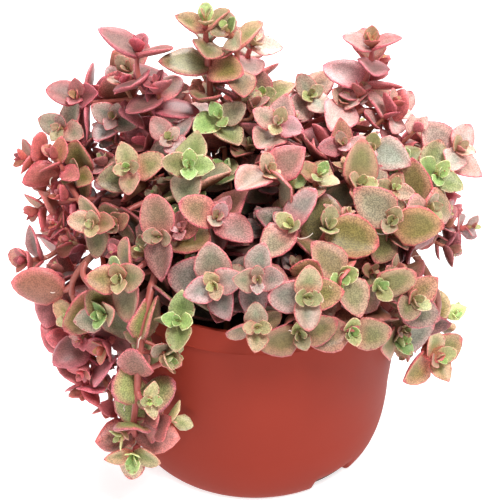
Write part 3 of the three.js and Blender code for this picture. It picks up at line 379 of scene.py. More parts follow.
def stem_points(stem, root, parent, below):
    """Out of the soil or off its parent, over the rim where the tip hangs outside it, and into the tip."""
    tip, look = stem["tip"], facing(*stem["face"])
    if root is not None:
        start = np.array((*root, SOIL_TOP))
        points = [np.array((*root, z)) for z in (SOIL_TOP - ROOT_DEPTH, SOIL_TOP, SOIL_TOP + ROOT_RISE)]
    else:
        foot = parent.at(below)
        start = foot + BRANCH_RISE * parent.along(below)
        start = start + BRANCH_RISE * unit(tip - start)
        points = [foot, start]
    reach = math.hypot(tip[0], tip[1])
    if len(stem["via"]):
        points += [np.array(p, float) for p in stem["via"]]
    elif root is not None and reach > OVER_RIM["reach"] and tip[2] < OVER_RIM["below"]:
        top = max(OVER_RIM["height"], (tip[2] + OVER_RIM["crest"]) / 2)
        points.append(np.array((*(tip[:2] / reach * OVER_RIM["radius"]), top)))
        if tip[2] < SOIL_TOP:
            outside = tip[:2] / reach * (reach + OVER_RIM["drop"]) / 2
            points.append(np.array((*outside, top + (tip[2] - top) * OVER_RIM["share"])))
    elif root is not None:
        bow = start + BOW["share"] * (tip - start)
        points.append(bow + BOW["rise"] * UP - BOW["back"] * look)
    lead = min(TIP_LEAD, np.linalg.norm(tip - start) * TIP_LEAD_SHARE)
    return points + [tip - lead * look, tip]


def in_pot(p):
    """Where the pot's wall, the soil and the table are, with a little room to spare."""
    r, z = np.hypot(p[..., 0], p[..., 1]), p[..., 2]
    slope = (RIM_RADIUS - SHOULDER_RADIUS) / (POT_HEIGHT - SHOULDER_HEIGHT)
    side = SHOULDER_RADIUS + slope * (z - SHOULDER_HEIGHT)
    wall = np.where(z > BAND_BOTTOM - LEAF_ROOM["band"], RIM_RADIUS, side)
    within = (r <= RIM_RADIUS - LEAF_ROOM["inside"]) & (z < SOIL_TOP + LEAF_ROOM["soil"])
    beside = (r > RIM_RADIUS - LEAF_ROOM["inside"]) & (r < wall + LEAF_ROOM["outside"])
    return (z < LEAF_ROOM["table"]) | within | (beside & (z < POT_HEIGHT + LEAF_ROOM["outside"]))


def in_rim(p):
    """The same for the middle line of a stem, which may rise from the soil."""
    r, z = np.hypot(p[..., 0], p[..., 1]), p[..., 2]
    ring = (r > RIM_RADIUS - STEM_ROOM["inside"]) & (r < RIM_RADIUS + STEM_ROOM["outside"])
    return ring & (z < POT_HEIGHT + STEM_ROOM["outside"])


def ways_up(stem, place, standing):
    """The ways that a stem may come up, the likeliest first: off a stem nearby, or out of the soil."""
    tip = stem["tip"]

    def far(other):
        return np.linalg.norm(other["tip"] - tip)

    near = [s for s in standing if stem["branch"] and s["root"] is not None and far(s) < BRANCH_REACH]
    for parent in sorted(near, key=far)[:BRANCH_PARENTS]:
        usual = BRANCH_USUAL[0] + BRANCH_USUAL[1] * far(parent)
        for share in BRANCH_SHARES:
            if share * usual < parent["line"].length - ROOT_DEPTH - BRANCH_ROOT:
                yield None, parent, share * usual
    for pull in ROOT_PULLS:
        for turn in ROOT_TURNS:
            c, s = math.cos(math.radians(turn)), math.sin(math.radians(turn))
            x, y = pull * place
            yield np.array((c * x - s * y, s * x + c * y)), None, None


def place_stem(stem, place, standing):
    """The stem on the first way up that is clear of the pot, the soil and the stems that stand already."""
    look = facing(*stem["face"])
    level = unit(np.cross(UP, look))
    roll = math.radians(stem["roll"])
    side = level * math.cos(roll) + np.cross(look, level) * math.sin(roll)
    roots = [s["root"] for s in standing if s["root"] is not None]
    for root, parent, below in ways_up(stem, place, standing):
        if root is not None and any(np.linalg.norm(root - r) < ROOT_CLEAR for r in roots):
            continue
        line = StemLine(stem_points(stem, root, parent and parent["line"], below))
        n = math.ceil(line.length / STEM_SAMPLE)
        points = line.at(np.arange(n + 1) * line.length / n)
        upper = points[:-ROOT_SAMPLES]
        inside = np.hypot(upper[:, 0], upper[:, 1]) < RIM_RADIUS
        if (inside & (upper[:, 2] < SOIL_TOP + ROOT_RISE)).any() or in_rim(points).any():
            continue
        node = parent["node"] if parent else stem["name"]
        if all(clear_of(other, points, node) for other in standing):
            return {**stem, "root": root, "line": line, "side": side, "points": points, "node": node}
    return None


def clear_of(other, points, node):
    """Whether no point is too near the other stem, the foot of a branch on its own stem left aside."""
    tested = points[:1 - BRANCH_ROOT] if other["node"] == node else points
    gaps = np.linalg.norm(tested[:, None] - other["points"][None], axis=2)
    return gaps.min() > STEM_CLEAR


def grow_stems():
    """The stems that stand by themselves first, then the branches and the rest of the mound."""
    rows = [stem_row(*row) for row in STEMS]
    order = [r for r in rows if not r["branch"]] + [r for r in rows if r["branch"]] + fill_stems(rows)
    standing = []
    for stem, place in zip(order, root_places(order)):
        stood = place_stem(stem, place, standing)
        if stood:
            standing.append(stood)
    return standing


def frame_at(stem, distance):
    """The stem's own directions below the tip: side is carried down from the tip without twist, and cross
    stands square to it and to the stem."""
    side = stem["side"]
    n = max(1, math.floor(distance / FRAME_STEP))
    for along in stem["line"].along(distance * np.arange(n + 1) / n):
        side = squared(side, along)
    return {"along": along, "side": side, "cross": np.cross(along, side), "centre": stem["line"].at(distance)}


def bare_length(stem):
    """How much of a stem's lower end has no leaves."""
    return BARE_ABOVE_FOOT if stem["root"] is None else BARE_ABOVE_ROOT


def pair_distance(stem, level):
    """How far below the tip a pair of leaves grows."""
    start = PAIRS[stem["skip"]][0] - SKIPPED_START if stem["skip"] else 0
    return (PAIRS[level + stem["skip"]][0] - start) * stem["spread"]


def pair_axis(f, level):
    """Which way a pair stands: each is square to the one above it."""
    return f["side"] if level % 2 == 0 else f["cross"]


def leaf_axes(f, heading, half, opening, size, jitter, tries):
    """Where leaves start and which way they and their faces point, one for each try. Out leans from the stem
    by the opening, turned sideways by the yaw; normal is the upper face, and width lies across the leaf."""
    yaw = np.radians(tries[:, 1] + jitter[1])[:, None]
    opened = np.radians(opening + tries[:, 0] + jitter[0])[:, None]
    roll = math.radians(jitter[2])
    away = heading * np.cos(yaw) + np.cross(f["along"], heading) * np.sin(yaw)
    out = f["along"] * np.cos(opened) + away * np.sin(opened)
    flat = f["along"] * np.sin(opened) - away * np.cos(opened)
    across = np.cross(f["along"], away)
    normal = flat * math.cos(roll) + across * math.sin(roll)
    width = across * math.cos(roll) - flat * math.sin(roll)
    length = size * tries[:, 2] * (1 + jitter[3])
    root = np.broadcast_to(f["centre"] + heading * half, out.shape)
    return {"root": root, "out": out, "normal": normal, "width": width, "length": length}


def leaf_tips(leaves, curl=1.0):
    """Where leaves end: their length outwards, and up by the tip's lift less the bend, times the curl."""
    rise = curl * (LEAF_TIP_LIFT - LEAF_BEND) * leaves["length"]
    return leaves["root"] + leaves["length"][:, None] * leaves["out"] + rise[:, None] * leaves["normal"]


def corners_of(node):
    """The corners of a solid, in millimetres from the pot's axis."""
    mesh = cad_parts[node].data
    points = np.empty(3 * len(mesh.vertices), np.float32)
    mesh.vertices.foreach_get("co", points)
    return np.unique(points.reshape(-1, 3).round(6), axis=0) / MM - (POT_AXIS_X, 0, 0)


def grow_leaves(standing):
    """Leaves grow level by level, the youngest first. Each takes the first try that its solid took, which is
    the one whose tip is a corner of that solid."""
    draw = random_stream(LEAF_SEED)
    solids = {s["node"]: corners_of("stem_" + s["node"]) for s in standing}
    leaves = []
    for level in range(max(s["pairs"] for s in standing)):
        for index, stem in enumerate(standing):
            older = level + stem["skip"]
            if level >= stem["pairs"] or older >= len(PAIRS):
                continue
            distance = pair_distance(stem, level)
            if distance > stem["line"].length - bare_length(stem):
                continue
            f = frame_at(stem, distance)
            half = stem["line"].half(distance)
            axis = pair_axis(f, level)
            ease = min(JITTER_MOST, older / JITTER_AGE)
            for sign in (1, -1):
                draws = [2 * next(draw) - 1 for _ in range(4)]
                jitter = [LEAF_JITTER["yaw"] * draws[1] * ease, LEAF_JITTER["roll"] * draws[2] * ease]
                jitter = [LEAF_JITTER["open"] * draws[0] * ease, *jitter, LEAF_JITTER["size"] * draws[3]]
                opening, size = PAIRS[older][2] + stem["lift"] * older, stem["size"] * PAIRS[older][1]
                tries = leaf_axes(f, axis * sign, half, opening, size, jitter, LEAF_TRIES)
                gaps = leaf_tips(tries)[:, None] - solids[stem["node"]][None]
                taken = np.linalg.norm(gaps, axis=2).min(1) < TIP_MATCH
                if level == 0:
                    taken &= (LEAF_TRIES[:, 1] == 0) & (abs(LEAF_TRIES[:, 0]) <= YOUNG_PLAY)
                if not taken.any():
                    continue
                leaf = {key: value[np.argmax(taken)] for key, value in tries.items()}
                leaves.append({**leaf, "stem": index, "age": older, "distance": distance})
    return leaves


# Colours


def linear(colour):
    """A hex sRGB colour as linear red, green and blue: the sRGB curve taken off each channel."""
    c = np.array([int(colour[i:i + 2], 16) for i in (1, 3, 5)]) / 255
    return np.where(c <= 0.04045, c / 12.92, ((c + 0.055) / 1.055) ** 2.4)


# How a leaf is coloured: the middle of its face, the face near the margin, the margin, and the underside
TONES = {name: np.array([linear(c) for c in colours]) for name, colours in {
    "bud": ("#809e56", "#9ab46e", "#dcdea6", "#98a866"),
    "fresh": ("#859458", "#a6a874", "#dab696", "#969058"),
    "sage": ("#88885c", "#b0987a", "#d4847a", "#886248"),
    "olive": ("#807440", "#b08864", "#ca6666", "#7e563c"),
    "grey": ("#8a877c", "#b89a94", "#d67c82", "#945a5a"),
    "cream": ("#d0ccbc", "#e0bcb0", "#de8c8c", "#b06a68"),
    "rose": ("#b8968e", "#d8a29c", "#e07680", "#b85e66"),
    "pink": ("#8c665c", "#b06c6a", "#cc666e", "#9c4e50"),
    "ember": ("#9a6a46", "#b06a54", "#c85e62", "#a85c4e"),
    "wine": ("#8a5450", "#ac5e62", "#cc6670", "#9c4e54"),
    "plum": ("#785048", "#965e5c", "#c46a72", "#84504e"),
}.items()}

# The tones from the tip down, by the tone of the stem's top
FADES = {
    "vivid": ("bud", "bud", "bud", "fresh", "fresh", "sage", "plum"),
    "fresh": ("bud", "bud", "fresh", "sage", "olive", "olive", "plum"),
    "sage": ("bud", "fresh", "sage", "sage", "olive", "olive", "plum"),
    "olive": ("fresh", "sage", "olive", "sage", "olive", "olive", "olive"),
    "grey": ("fresh", "sage", "grey", "grey", "grey", "olive", "plum"),
    "cream": ("fresh", "cream", "cream", "cream", "rose", "olive", "plum"),
    "rose": ("sage", "cream", "rose", "cream", "rose", "pink", "pink"),
    "pink": ("sage", "grey", "pink", "pink", "olive", "wine", "plum"),
    "plum": ("olive", "pink", "wine", "wine", "plum", "plum", "plum"),
    "wine": ("wine", "wine", "wine", "plum", "wine", "wine", "plum"),
    "ember": ("wine", "ember", "ember", "ember", "wine", "ember", "plum"),
    "dusk": ("olive", "olive", "rose", "wine", "rose", "rose", "wine"),
}

# How far past its age a leaf's tone lies, and by how much that, its lightness and its hue differ. An older
# leaf may take a share of a stray tone
TONE_START = 1.5
TONE_PLAY = 0.6
LIGHTNESS = (0.8, 1.22)
HUE_PLAY = 0.035
STRAY_TONES = ("sage", "olive", "grey", "cream", "rose", "pink", "wine")
STRAY_MOST = 0.6

# Painted shade: how much darker leaves are made inside the mound, below its top, where the leaves above shade
# them,
# and painted light: how much lighter they are made on stems that hang, which the mound shades
INNER_REACH = 0.4
INNER_SHADE = 0.8
INNER_TOP = 116.0
INNER_FADE = 16.0
HANGING_BELOW = 68.0
HANGING_PAINTED_LIGHT = 1.25

# The hanging stem has green undersides but for two pairs, and its stalk ages over three times the length
TRAILER_UNDER = (linear("#9aa066"), linear("#94605a"))
TRAILER_DARK_AGES = (2, 3)
TRAILER_AGEING = 3

# A stalk's colours from the bud down, the millimetres that they take, and the share of a warm brown
STEM_YOUNG, STEM_RED, STEM_OLD = (linear(c) for c in ("#c06064", "#a04a44", "#66402e"))
STEM_WARM = linear("#8c7038")
STEM_AGEING = 45.0
WARM_LIMITS = (-0.8, 0.6)
BUD_GREEN_END = 3.2
BUD_GREEN_FADE = 2.0

# How strongly leaves are speckled
SPECKLE_BY_AGE = 0.2
SPECKLE_USUAL = 0.1
SPECKLE_PLAY = 0.25
RED_TONES = ("wine", "plum", "ember", "dusk")
SPECKLE_ON_RED = 0.35


# Leaves and stems as surfaces

# A leaf's rings, as shares of its length, and a ring's points: how far across and how far up
STATIONS = np.array((-0.05, 0.07, 0.23, 0.43, 0.64, 0.82, 0.94))
SMALL_STATIONS = np.array((-0.05, 0.12, 0.4, 0.7, 0.9))
SMALL_LEAF = 8.5
AROUND = 10
RING_ACROSS = np.array((1, 0.9, 0.5, 0, -0.5, -0.9, -1, -0.8, 0, 0.8))
RING_UP = np.array((0, 1, 1.2, 0.5, 1.2, 1, 0, -0.7, -1, -0.7))

# A leaf's outline, thickness, bends and margin
TIP_SHARPNESS = (0.54, 0.96)
BROADEST = 0.35
BASE_HALF = 0.2
FACE_THICKNESS = 0.04
BELLY_THICKNESS = 0.1
TAPER_POWERS = (2.4, 0.6)
CUP_POWER = 1.5
SWAY = 0.05
RIPPLE_RATE = 7.0
EDGE_FROM_TIP = 0.8
EDGE_REACH = 4.0

# How the shape of one leaf may differ from the usual, and how little a young one does
YOUNG_SHARE = 0.4
YOUNG_BROADEST = 0.42
BROADEST_PLAY = (-0.03, 0.05)
USUAL_CUP = {"young": 1.6, "old": 1.4}
SHAPE_PLAY = {
    "curl": (-0.5, 0.9), "cup": (-0.6, 1.1), "twist": (-0.22, 0.22), "sway": (-1, 1), "ripple": (-0.14, 0.14),
}

# A stem's rings, its swelling at each pair of leaves, and its blunt tip
STEM_SIDES = 8
STEM_RING_STEP = 1.5
STEM_PLUMPNESS = 1.06
NODE_SWELLING = 0.32
NODE_LENGTH = 1.1
NODE_FADE = 8.0
STEM_TIP_SHARE = 0.3
STEM_TIP_LENGTH = 5.0
STEM_POINT = 0.3


def leaf_outline(s, broadest, sharpness):
    """Half the leaf's width as a share of its breadth: s to a power times (1 - s) to another, so that it is
    one half at its broadest and comes to a point, and is never narrower than the joined base."""
    power = sharpness * broadest / (1 - broadest)
    inside = np.clip(s, 0.0, 1.0)
    shape = inside**power * (1 - inside) ** sharpness
    top = broadest**power * (1 - broadest) ** sharpness
    return np.maximum(0.5 * shape / top, np.where(s < BROADEST / 2, BASE_HALF, 0))


def leaf_rings(leaves, stations, ring_across, ring_up):
    """Rings of points at stations along each leaf. A ring is a flat lens, as wide as the outline; its middle
    follows a rib that bends down with the square of the distance and lifts again near the tip, and sways
    aside by half a sine. Its sides rise by the cup and ripple by a sine, it turns by the twist, and it gets
    thinner towards the tip. Gives the points and half the leaf's width at each ring."""
    length = leaves["length"][:, None, None]
    s = stations[None, :, None]
    v = ring_across[None, None, :]
    broadest, sharpness = leaves["broadest"][:, None, None], leaves["sharpness"][:, None, None]
    half = leaf_outline(s, broadest, sharpness) * LEAF_WIDTH * length
    taper = np.clip(1 - np.abs(s) ** TAPER_POWERS[0], 0, 1) ** TAPER_POWERS[1]
    rib = leaves["curl"][:, None, None] * (LEAF_TIP_LIFT * s**4 - LEAF_BEND * s**2) * length
    cup = leaves["cup"][:, None, None] * LEAF_CUP * half * np.abs(v) ** CUP_POWER
    thick = np.where(ring_up > 0, FACE_THICKNESS, BELLY_THICKNESS) * ring_up * taper * length
    sway = leaves["sway"][:, None, None] * np.sin(math.pi * np.clip(s, 0, 1)) * SWAY * length
    ripple = leaves["ripple"][:, None, None] * np.sin(RIPPLE_RATE * s + leaves["sway"][:, None, None] * v)
    ripple = ripple * half * np.abs(v) ** 2
    turn = leaves["twist"][:, None, None] * s
    across, up = half * v, cup + thick + ripple
    x = across * np.cos(turn) - up * np.sin(turn) + sway
    y = across * np.sin(turn) + up * np.cos(turn) + rib
    axes = [leaves[k][:, None, None, :] for k in ("out", "width", "normal")]
    rings = leaves["root"][:, None, None] + (s * length)[..., None] * axes[0]
    return rings + x[..., None] * axes[1] + y[..., None] * axes[2], half


def leaf_surface(leaves, stations):
    """The rings of each leaf, then its tip. Gives the points and, for each, its place on the leaf and how
    near the margin it is."""
    n = len(leaves["length"])
    rings, half = leaf_rings(leaves, stations, RING_ACROSS, RING_UP)
    length = leaves["length"][:, None, None]
    s = stations[None, :, None]
    v = RING_ACROSS[None, None, :]
    tips = leaf_tips(leaves, leaves["curl"])
    points = np.concatenate((rings.reshape(n, -1, 3), tips[:, None]), axis=1)
    inward = np.minimum(half * (1 - np.abs(v)), (1 - s) * length * EDGE_FROM_TIP)
    edge = 1 - inward / EDGE_REACH
    shape = (n, len(stations), AROUND)
    upper = np.broadcast_to(0.5 + 0.5 * np.sign(RING_UP), shape)
    place = np.stack((np.broadcast_to(v, shape), np.broadcast_to(s, shape), upper), axis=-1)
    place = np.concatenate((place.reshape(n, -1, 3), np.tile((0, 1, 0.5), (n, 1, 1))), axis=1)
    edge = np.concatenate((edge.reshape(n, -1), np.ones((n, 1))), axis=1)
    return points, place, edge


def tube_faces(rings, around, closed_tip):
    """Faces of a tube over rings of points, with a cap on its first ring and a fan or a cap on its last."""
    k, j = np.meshgrid(np.arange(rings - 1), np.arange(around), indexing="ij")
    i = (j + 1) % around
    quads = np.stack((k * around + j, k * around + i, (k + 1) * around + i, (k + 1) * around + j), axis=-1)
    faces = quads.reshape(-1, 4).tolist() + [list(range(around))[::-1]]
    last = (rings - 1) * around
    if closed_tip:
        return faces + [[last + a, last + (a + 1) % around, rings * around] for a in range(around)]
    return faces + [[last + a for a in range(around)]]


def tube_surface(line, side, distance, radius, sides, tip):
    """Rings round a line at distances below its tip, given from the root up, each with its radius, and then
    the tip. The side is carried down from the tip without twist."""
    along = line.along(distance)
    sideways = np.empty_like(along)
    for k in range(len(distance) - 1, -1, -1):
        side = squared(side, along[k])
        sideways[k] = side
    cross = np.cross(along, sideways)
    angle = 2 * math.pi * np.arange(sides) / sides
    spoke = sideways[:, None] * np.cos(angle)[None, :, None] + cross[:, None] * np.sin(angle)[None, :, None]
    rings = line.at(distance)[:, None] + radius[:, None, None] * spoke
    return np.concatenate((rings.reshape(-1, 3), tip[None])), tube_faces(len(distance), sides, True)


def stem_surface(stem, nodes):
    """Rings round the stem from its root to its bud: the radius grows from the tip down and swells at each
    pair of leaves by a bell curve. Gives the points, the faces, how near each point is to a pair, and how
    far down it is, both nought at the tip."""
    line = stem["line"]
    n = math.ceil(line.length / STEM_RING_STEP)
    distance = line.length * (1 - np.arange(n + 1) / n)
    bell = np.exp(-(((distance[:, None] - np.array(nodes)[None]) / NODE_LENGTH) ** 2)).max(1)
    swelling = NODE_SWELLING * bell * np.minimum(1, distance / NODE_FADE)
    radius = line.half(distance) * STEM_PLUMPNESS + swelling
    radius = radius * stem["girth"] * np.clip(STEM_TIP_SHARE + distance / STEM_TIP_LENGTH, 0, 1)
    tip = stem["tip"] + STEM_POINT * line.along(0)
    points, faces = tube_surface(line, stem["side"], distance, radius, STEM_SIDES, tip)
    near, down = (np.append(np.repeat(value, STEM_SIDES), 0) for value in (bell, distance))
    return points, faces, near, down


# Leaves and shoots that only the finer pieces have

MORE_SEED = 23
MORE_STEP = (6.5, 9.5)
MORE_SIZE = 0.95
MORE_OPENING = 88
MORE_TRIES = LEAF_TRIES[:22]

# How leaves differ from their pair's rule: degrees more open, sideways and rolled, and the share of length
MORE_JITTER = ((-14, 14), (-18, 18), (-22, 22), (-0.15, 0.08))
BUD_JITTER = ((-5, 5), (-6, 6), (-8, 8), (-0.06, 0.06))

# The youngest pairs, as rows of PAIRS, on a stem that has them all and on one whose first pairs are left out
BUD_PAIRS = ((0.8, 0.24, 20),)
SKIPPED_PAIRS = ((2.2, 0.42, 40), (1.0, 0.26, 20))
BUD_HALF = 0.4

# The grid of what is filled, and the places on a leaf that are tested against it
CELL = 0.8
CELL_MARGIN = 4
LEAF_GAP = 1.2
REACH_CELL = 4
REACH_ANGLE = 5.0
TEST_STATIONS = np.array((0.22, 0.36, 0.5, 0.64, 0.78, 0.9, 1.0))
TEST_ACROSS = np.array((-0.95, -0.6, -0.25, 0.25, 0.6, 0.95))

# A side shoot: its pairs as those of a stem, for a largest leaf of 9 mm, where on a stem and how far apart
# shoots are tried, up to which height and in how many directions, the least leaves that one has, and the
# lengths of the shoot and of its largest leaf, for the rounds of larger and of smaller shoots
SHOOT_PAIRS = ((0.5, 0.3, 18), (1.5, 0.52, 36), (3.0, 0.8, 54), (5.4, 1.0, 70), (9.0, 1.0, 84))
SHOOT_PAIRS_FOR = 9
SHOOT_STEP = 4.5
SHOOT_START = 9.0
SHOOT_TOP = 124.0
SHOOT_TURNS = 6
SHOOT_LEAST = 5
SHOOT_ROUNDS = (((11.0, 20.0), (10.0, 13.0)), ((6.0, 12.0), (6.0, 9.0)))
SHOOT_GIRTH = 0.72
SHOOT_SUNK = 0.8
SHOOT_BARE = 3.0
SHOOT_LEAN = {"along": 0.45, "up": 0.35, "outward": 0.35}
SHOOT_BEND = {"share": 0.45, "along": 0.3}
STALK_JOINED = 3.2
STALK_POINTS = 12
PROBE = 2.6
PROBES = PROBE * np.array([(0, 0, 0), (1, 0, 0), (-1, 0, 0), (0, 1, 0), (0, -1, 0), (0, 0, 1), (0, 0, -1)])

# Aerial roots: from which pairs on, what share of the pairs has one, how each wanders, and its thickness
AERIAL_AGE = 2
AERIAL_SHARE = 0.3
AERIAL_TRIES = 6
AERIAL_START = 0.5
AERIAL_JOINED = 2
AERIAL_STEPS = (4, 9)
AERIAL_PACE = 1.3
AERIAL_WANDER = 0.4
AERIAL_SINK = 0.12
AERIAL_RADIUS = 0.3
AERIAL_TIP_SHARE = 0.45
AERIAL_LAST_RING = 0.4
AERIAL_RINGS = 9
AERIAL_SIDES = 5
AERIAL_COLOUR = linear("#eadfd0")

# How far up the leaf, and how much at most, its face flushes pink from the base
FLUSH_REACH = 0.45
FLUSH_MOST = 0.9
FLUSH_USUAL = (0.15, 0.45)


def reach_by_direction(points):
    """How far points reach from the mound's middle, for cells of direction a few degrees wide: the longest
    within REACH_ANGLE of the middle of the cell."""
    turn = np.radians(np.arange(0, 360, REACH_CELL) + REACH_CELL / 2)
    rise = np.radians(np.arange(-90, 90, REACH_CELL) + REACH_CELL / 2)
    turn, rise = np.meshgrid(turn, rise, indexing="ij")
    looks = np.stack((np.cos(turn) * np.cos(rise), np.sin(turn) * np.cos(rise), np.sin(rise)), axis=-1)
    away = points - np.array(MOUND_CENTRE, float)
    reach = np.linalg.norm(away, axis=1)
    near = looks @ (away / reach[:, None]).T > math.cos(math.radians(REACH_ANGLE))
    return np.where(near, reach, 0).max(-1)


class Crowd:
    """Where no more leaves fit, as filled cells of a grid over the box of the solids: at first all that lies
    further out than the leaves of the solids."""

    def __init__(self, box, leaf_points):
        self.box = box
        self.low = box[0] - CELL_MARGIN * CELL
        counts = np.ceil((box[1] - box[0]) / CELL).astype(int) + 2 * CELL_MARGIN + 1
        middles = [self.low[k] + CELL * (np.arange(counts[k]) + 0.5) - MOUND_CENTRE[k] for k in range(3)]
        x, y, z = np.meshgrid(*middles, indexing="ij", sparse=True)
        across = np.hypot(x, y)
        table = reach_by_direction(leaf_points)
        turn = (np.degrees(np.arctan2(y, x)) % 360 / REACH_CELL).astype(int) % table.shape[0]
        rise = ((np.degrees(np.arctan2(z, across)) + 90) / REACH_CELL).astype(int).clip(0, table.shape[1] - 1)
        self.filled = np.hypot(across, z) > table[np.broadcast_to(turn, counts), rise]
        reach = math.ceil(LEAF_GAP / CELL)
        steps = np.arange(-reach, reach + 1)
        steps = np.stack(np.meshgrid(steps, steps, steps), axis=-1).reshape(-1, 3)
        self.ball = steps[np.linalg.norm(steps, axis=1) * CELL <= LEAF_GAP]

    def cells(self, points):
        """The numbers of the cells that points lie in."""
        return np.floor((points - self.low) / CELL).astype(int)

    def put(self, points):
        """Fills the cells within a gap of each point."""
        near = self.cells(points.reshape(-1, 3))[:, None] + self.ball[None]
        self.filled[tuple(near.reshape(-1, 3).T)] = True

    def clear(self, points):
        """Whether each group of points is inside the box, outside the pot and in empty cells only."""
        inside = ((points > self.box[0]) & (points < self.box[1])).all(-1)
        cells = np.where(inside[..., None], self.cells(points), 0)
        free = inside & ~in_pot(points) & ~self.filled[tuple(np.moveaxis(cells, -1, 0))]
        return free.all(-1)


def gathered(leaves):
    """A list of leaves as arrays, one row a leaf."""
    return {key: np.array([leaf[key] for leaf in leaves]) for key in leaves[0]}


def shape_of(young, rng):
    """Where one leaf is broadest, how sharp its tip is, and its bend, cup, twist, sway and ripple: each the
    usual one, and a small part drawn at random."""
    usual = {"curl": 1, "cup": USUAL_CUP["young" if young else "old"]}
    spread = YOUNG_SHARE if young else 1.0
    shape = {
        "broadest": YOUNG_BROADEST if young else BROADEST + rng.uniform(*BROADEST_PLAY),
        "sharpness": rng.uniform(*TIP_SHARPNESS),
    }
    for key, limits in SHAPE_PLAY.items():
        shape[key] = usual.get(key, 0) + spread * rng.uniform(*limits)
    return shape


def samples_of(leaves):
    """Points over the middle surface of each leaf, without its joined base."""
    rings = leaf_rings(leaves, TEST_STATIONS, TEST_ACROSS, 0 * TEST_ACROSS)[0]
    return rings.reshape(len(rings), -1, 3)


def first_clear(f, heading, half, opening, size, shape, crowd, rng):
    """A leaf on the first try that is clear of what stands already, and its sampled points, or nothing."""
    jitter = [rng.uniform(*limits) for limits in MORE_JITTER]
    tries = leaf_axes(f, heading, half, opening, size, jitter, MORE_TRIES)
    count = len(MORE_TRIES)
    points = samples_of({**tries, **{key: np.full(count, value) for key, value in shape.items()}})
    clear = crowd.clear(points)
    if not clear.any():
        return None, None
    k = int(np.argmax(clear))
    return {**{key: value[k] for key, value in tries.items()}, **shape}, points[k]


def bud_leaves(index, stem, rng):
    """The youngest pairs, smaller and more upright than those of the solids."""
    buds = []
    for k, (distance, share, opening) in enumerate(SKIPPED_PAIRS if stem["skip"] else BUD_PAIRS):
        f = frame_at(stem, distance)
        axis = pair_axis(f, k + 1)
        for sign in (1, -1):
            jitter = [rng.uniform(*limits) for limits in BUD_JITTER]
            one = leaf_axes(f, axis * sign, BUD_HALF, opening, stem["size"] * share, jitter, LEAF_TRIES[:1])
            leaf = {key: value[0] for key, value in one.items()}
            buds.append({**leaf, **shape_of(True, rng), "stem": index, "age": -1 - k, "distance": distance})
    return buds


def lower_leaves(index, stem, levels, crowd, rng):
    """More pairs down the stem to the soil."""
    more = []
    taken = [pair_distance(stem, level) for level in range(levels)]
    distance, level = max(taken) + rng.uniform(*MORE_STEP), levels
    while distance < stem["line"].length - bare_length(stem):
        f = frame_at(stem, distance)
        axis = pair_axis(f, level)
        for sign in (1, -1):
            half, size = stem["line"].half(distance), stem["size"] * MORE_SIZE
            shape = shape_of(False, rng)
            leaf, points = first_clear(f, axis * sign, half, MORE_OPENING, size, shape, crowd, rng)
            if leaf:
                crowd.put(points)
                more.append({**leaf, "stem": index, "age": level + stem["skip"], "distance": distance})
        distance += rng.uniform(*MORE_STEP)
        level += 1
    return more


def shoot_from(parent, distance, turn, reach, size, rng):
    """A short shoot that leaves its parent sideways and turns up and outwards."""
    f = frame_at(parent, distance)
    spoke = f["side"] * math.cos(turn) + f["cross"] * math.sin(turn)
    outward = f["centre"] - np.array(MOUND_CENTRE, float)
    upwards = SHOOT_LEAN["along"] * f["along"] + SHOOT_LEAN["up"] * UP
    lean = unit(spoke + upwards + SHOOT_LEAN["outward"] * unit(outward))
    middle = f["centre"] + SHOOT_BEND["share"] * reach * unit(spoke + SHOOT_BEND["along"] * f["along"])
    tip = f["centre"] + reach * lean
    line = StemLine((f["centre"], middle, tip))
    along = line.along(0)
    side = unit(np.cross(along, unit(rng.normal(size=3))))
    return {
        "name": parent["name"], "node": parent["node"], "tone": parent["tone"], "tip": tip, "line": line,
        "side": side, "size": size, "skip": 0, "root": None, "below": distance, "girth": SHOOT_GIRTH,
    }


def shoot_leaves(shoot, crowd, rng):
    """The leaves of a shoot that are clear of what stood before it, or nothing where they are too few."""
    leaves, samples = [], []
    for level, (distance, share, opening) in enumerate(SHOOT_PAIRS):
        distance = distance * shoot["size"] / SHOOT_PAIRS_FOR
        if distance > shoot["line"].length - SHOOT_BARE:
            break
        f = frame_at(shoot, distance)
        axis = pair_axis(f, level)
        for sign in (1, -1):
            shape = shape_of(level < 2, rng)
            half, size = SHOOT_GIRTH * shoot["line"].half(distance) * SHOOT_SUNK, shoot["size"] * share
            leaf, points = first_clear(f, axis * sign, half, opening, size, shape, crowd, rng)
            if leaf:
                leaves.append({**leaf, "age": level - 1, "distance": distance})
                samples.append(points)
            elif level < 2:
                return [], []
    return (leaves, samples) if len(leaves) >= SHOOT_LEAST else ([], [])


def side_shoots(standing, crowd, rng):
    """Shoots from the corners between stems and leaves, the larger ones first, wherever there is room."""
    shoots, leaves = [], []
    for reaches, sizes in SHOOT_ROUNDS:
        for parent in standing:
            for distance in np.arange(SHOOT_START, parent["line"].length - bare_length(parent), SHOOT_STEP):
                if parent["line"].at(distance)[2] > SHOOT_TOP:
                    continue
                for turn in 2 * math.pi * (rng.random() + np.arange(SHOOT_TURNS) / SHOOT_TURNS):
                    reach, size = rng.uniform(*reaches), rng.uniform(*sizes)
                    shoot = shoot_from(parent, distance, turn, reach, size, rng)
                    free = shoot["line"].length - STALK_JOINED
                    stalk = shoot["line"].at(np.linspace(0, free, STALK_POINTS))
                    if not crowd.clear(np.concatenate((stalk, shoot["tip"] + PROBES))[None])[0]:
                        continue
                    grown, samples = shoot_leaves(shoot, crowd, rng)
                    if not grown:
                        continue
                    index = len(standing) + len(shoots)
                    shoots.append(shoot)
                    leaves += [{**leaf, "stem": index} for leaf in grown]
                    crowd.put(np.concatenate((*samples, stalk)))
                    break
    return shoots, leaves


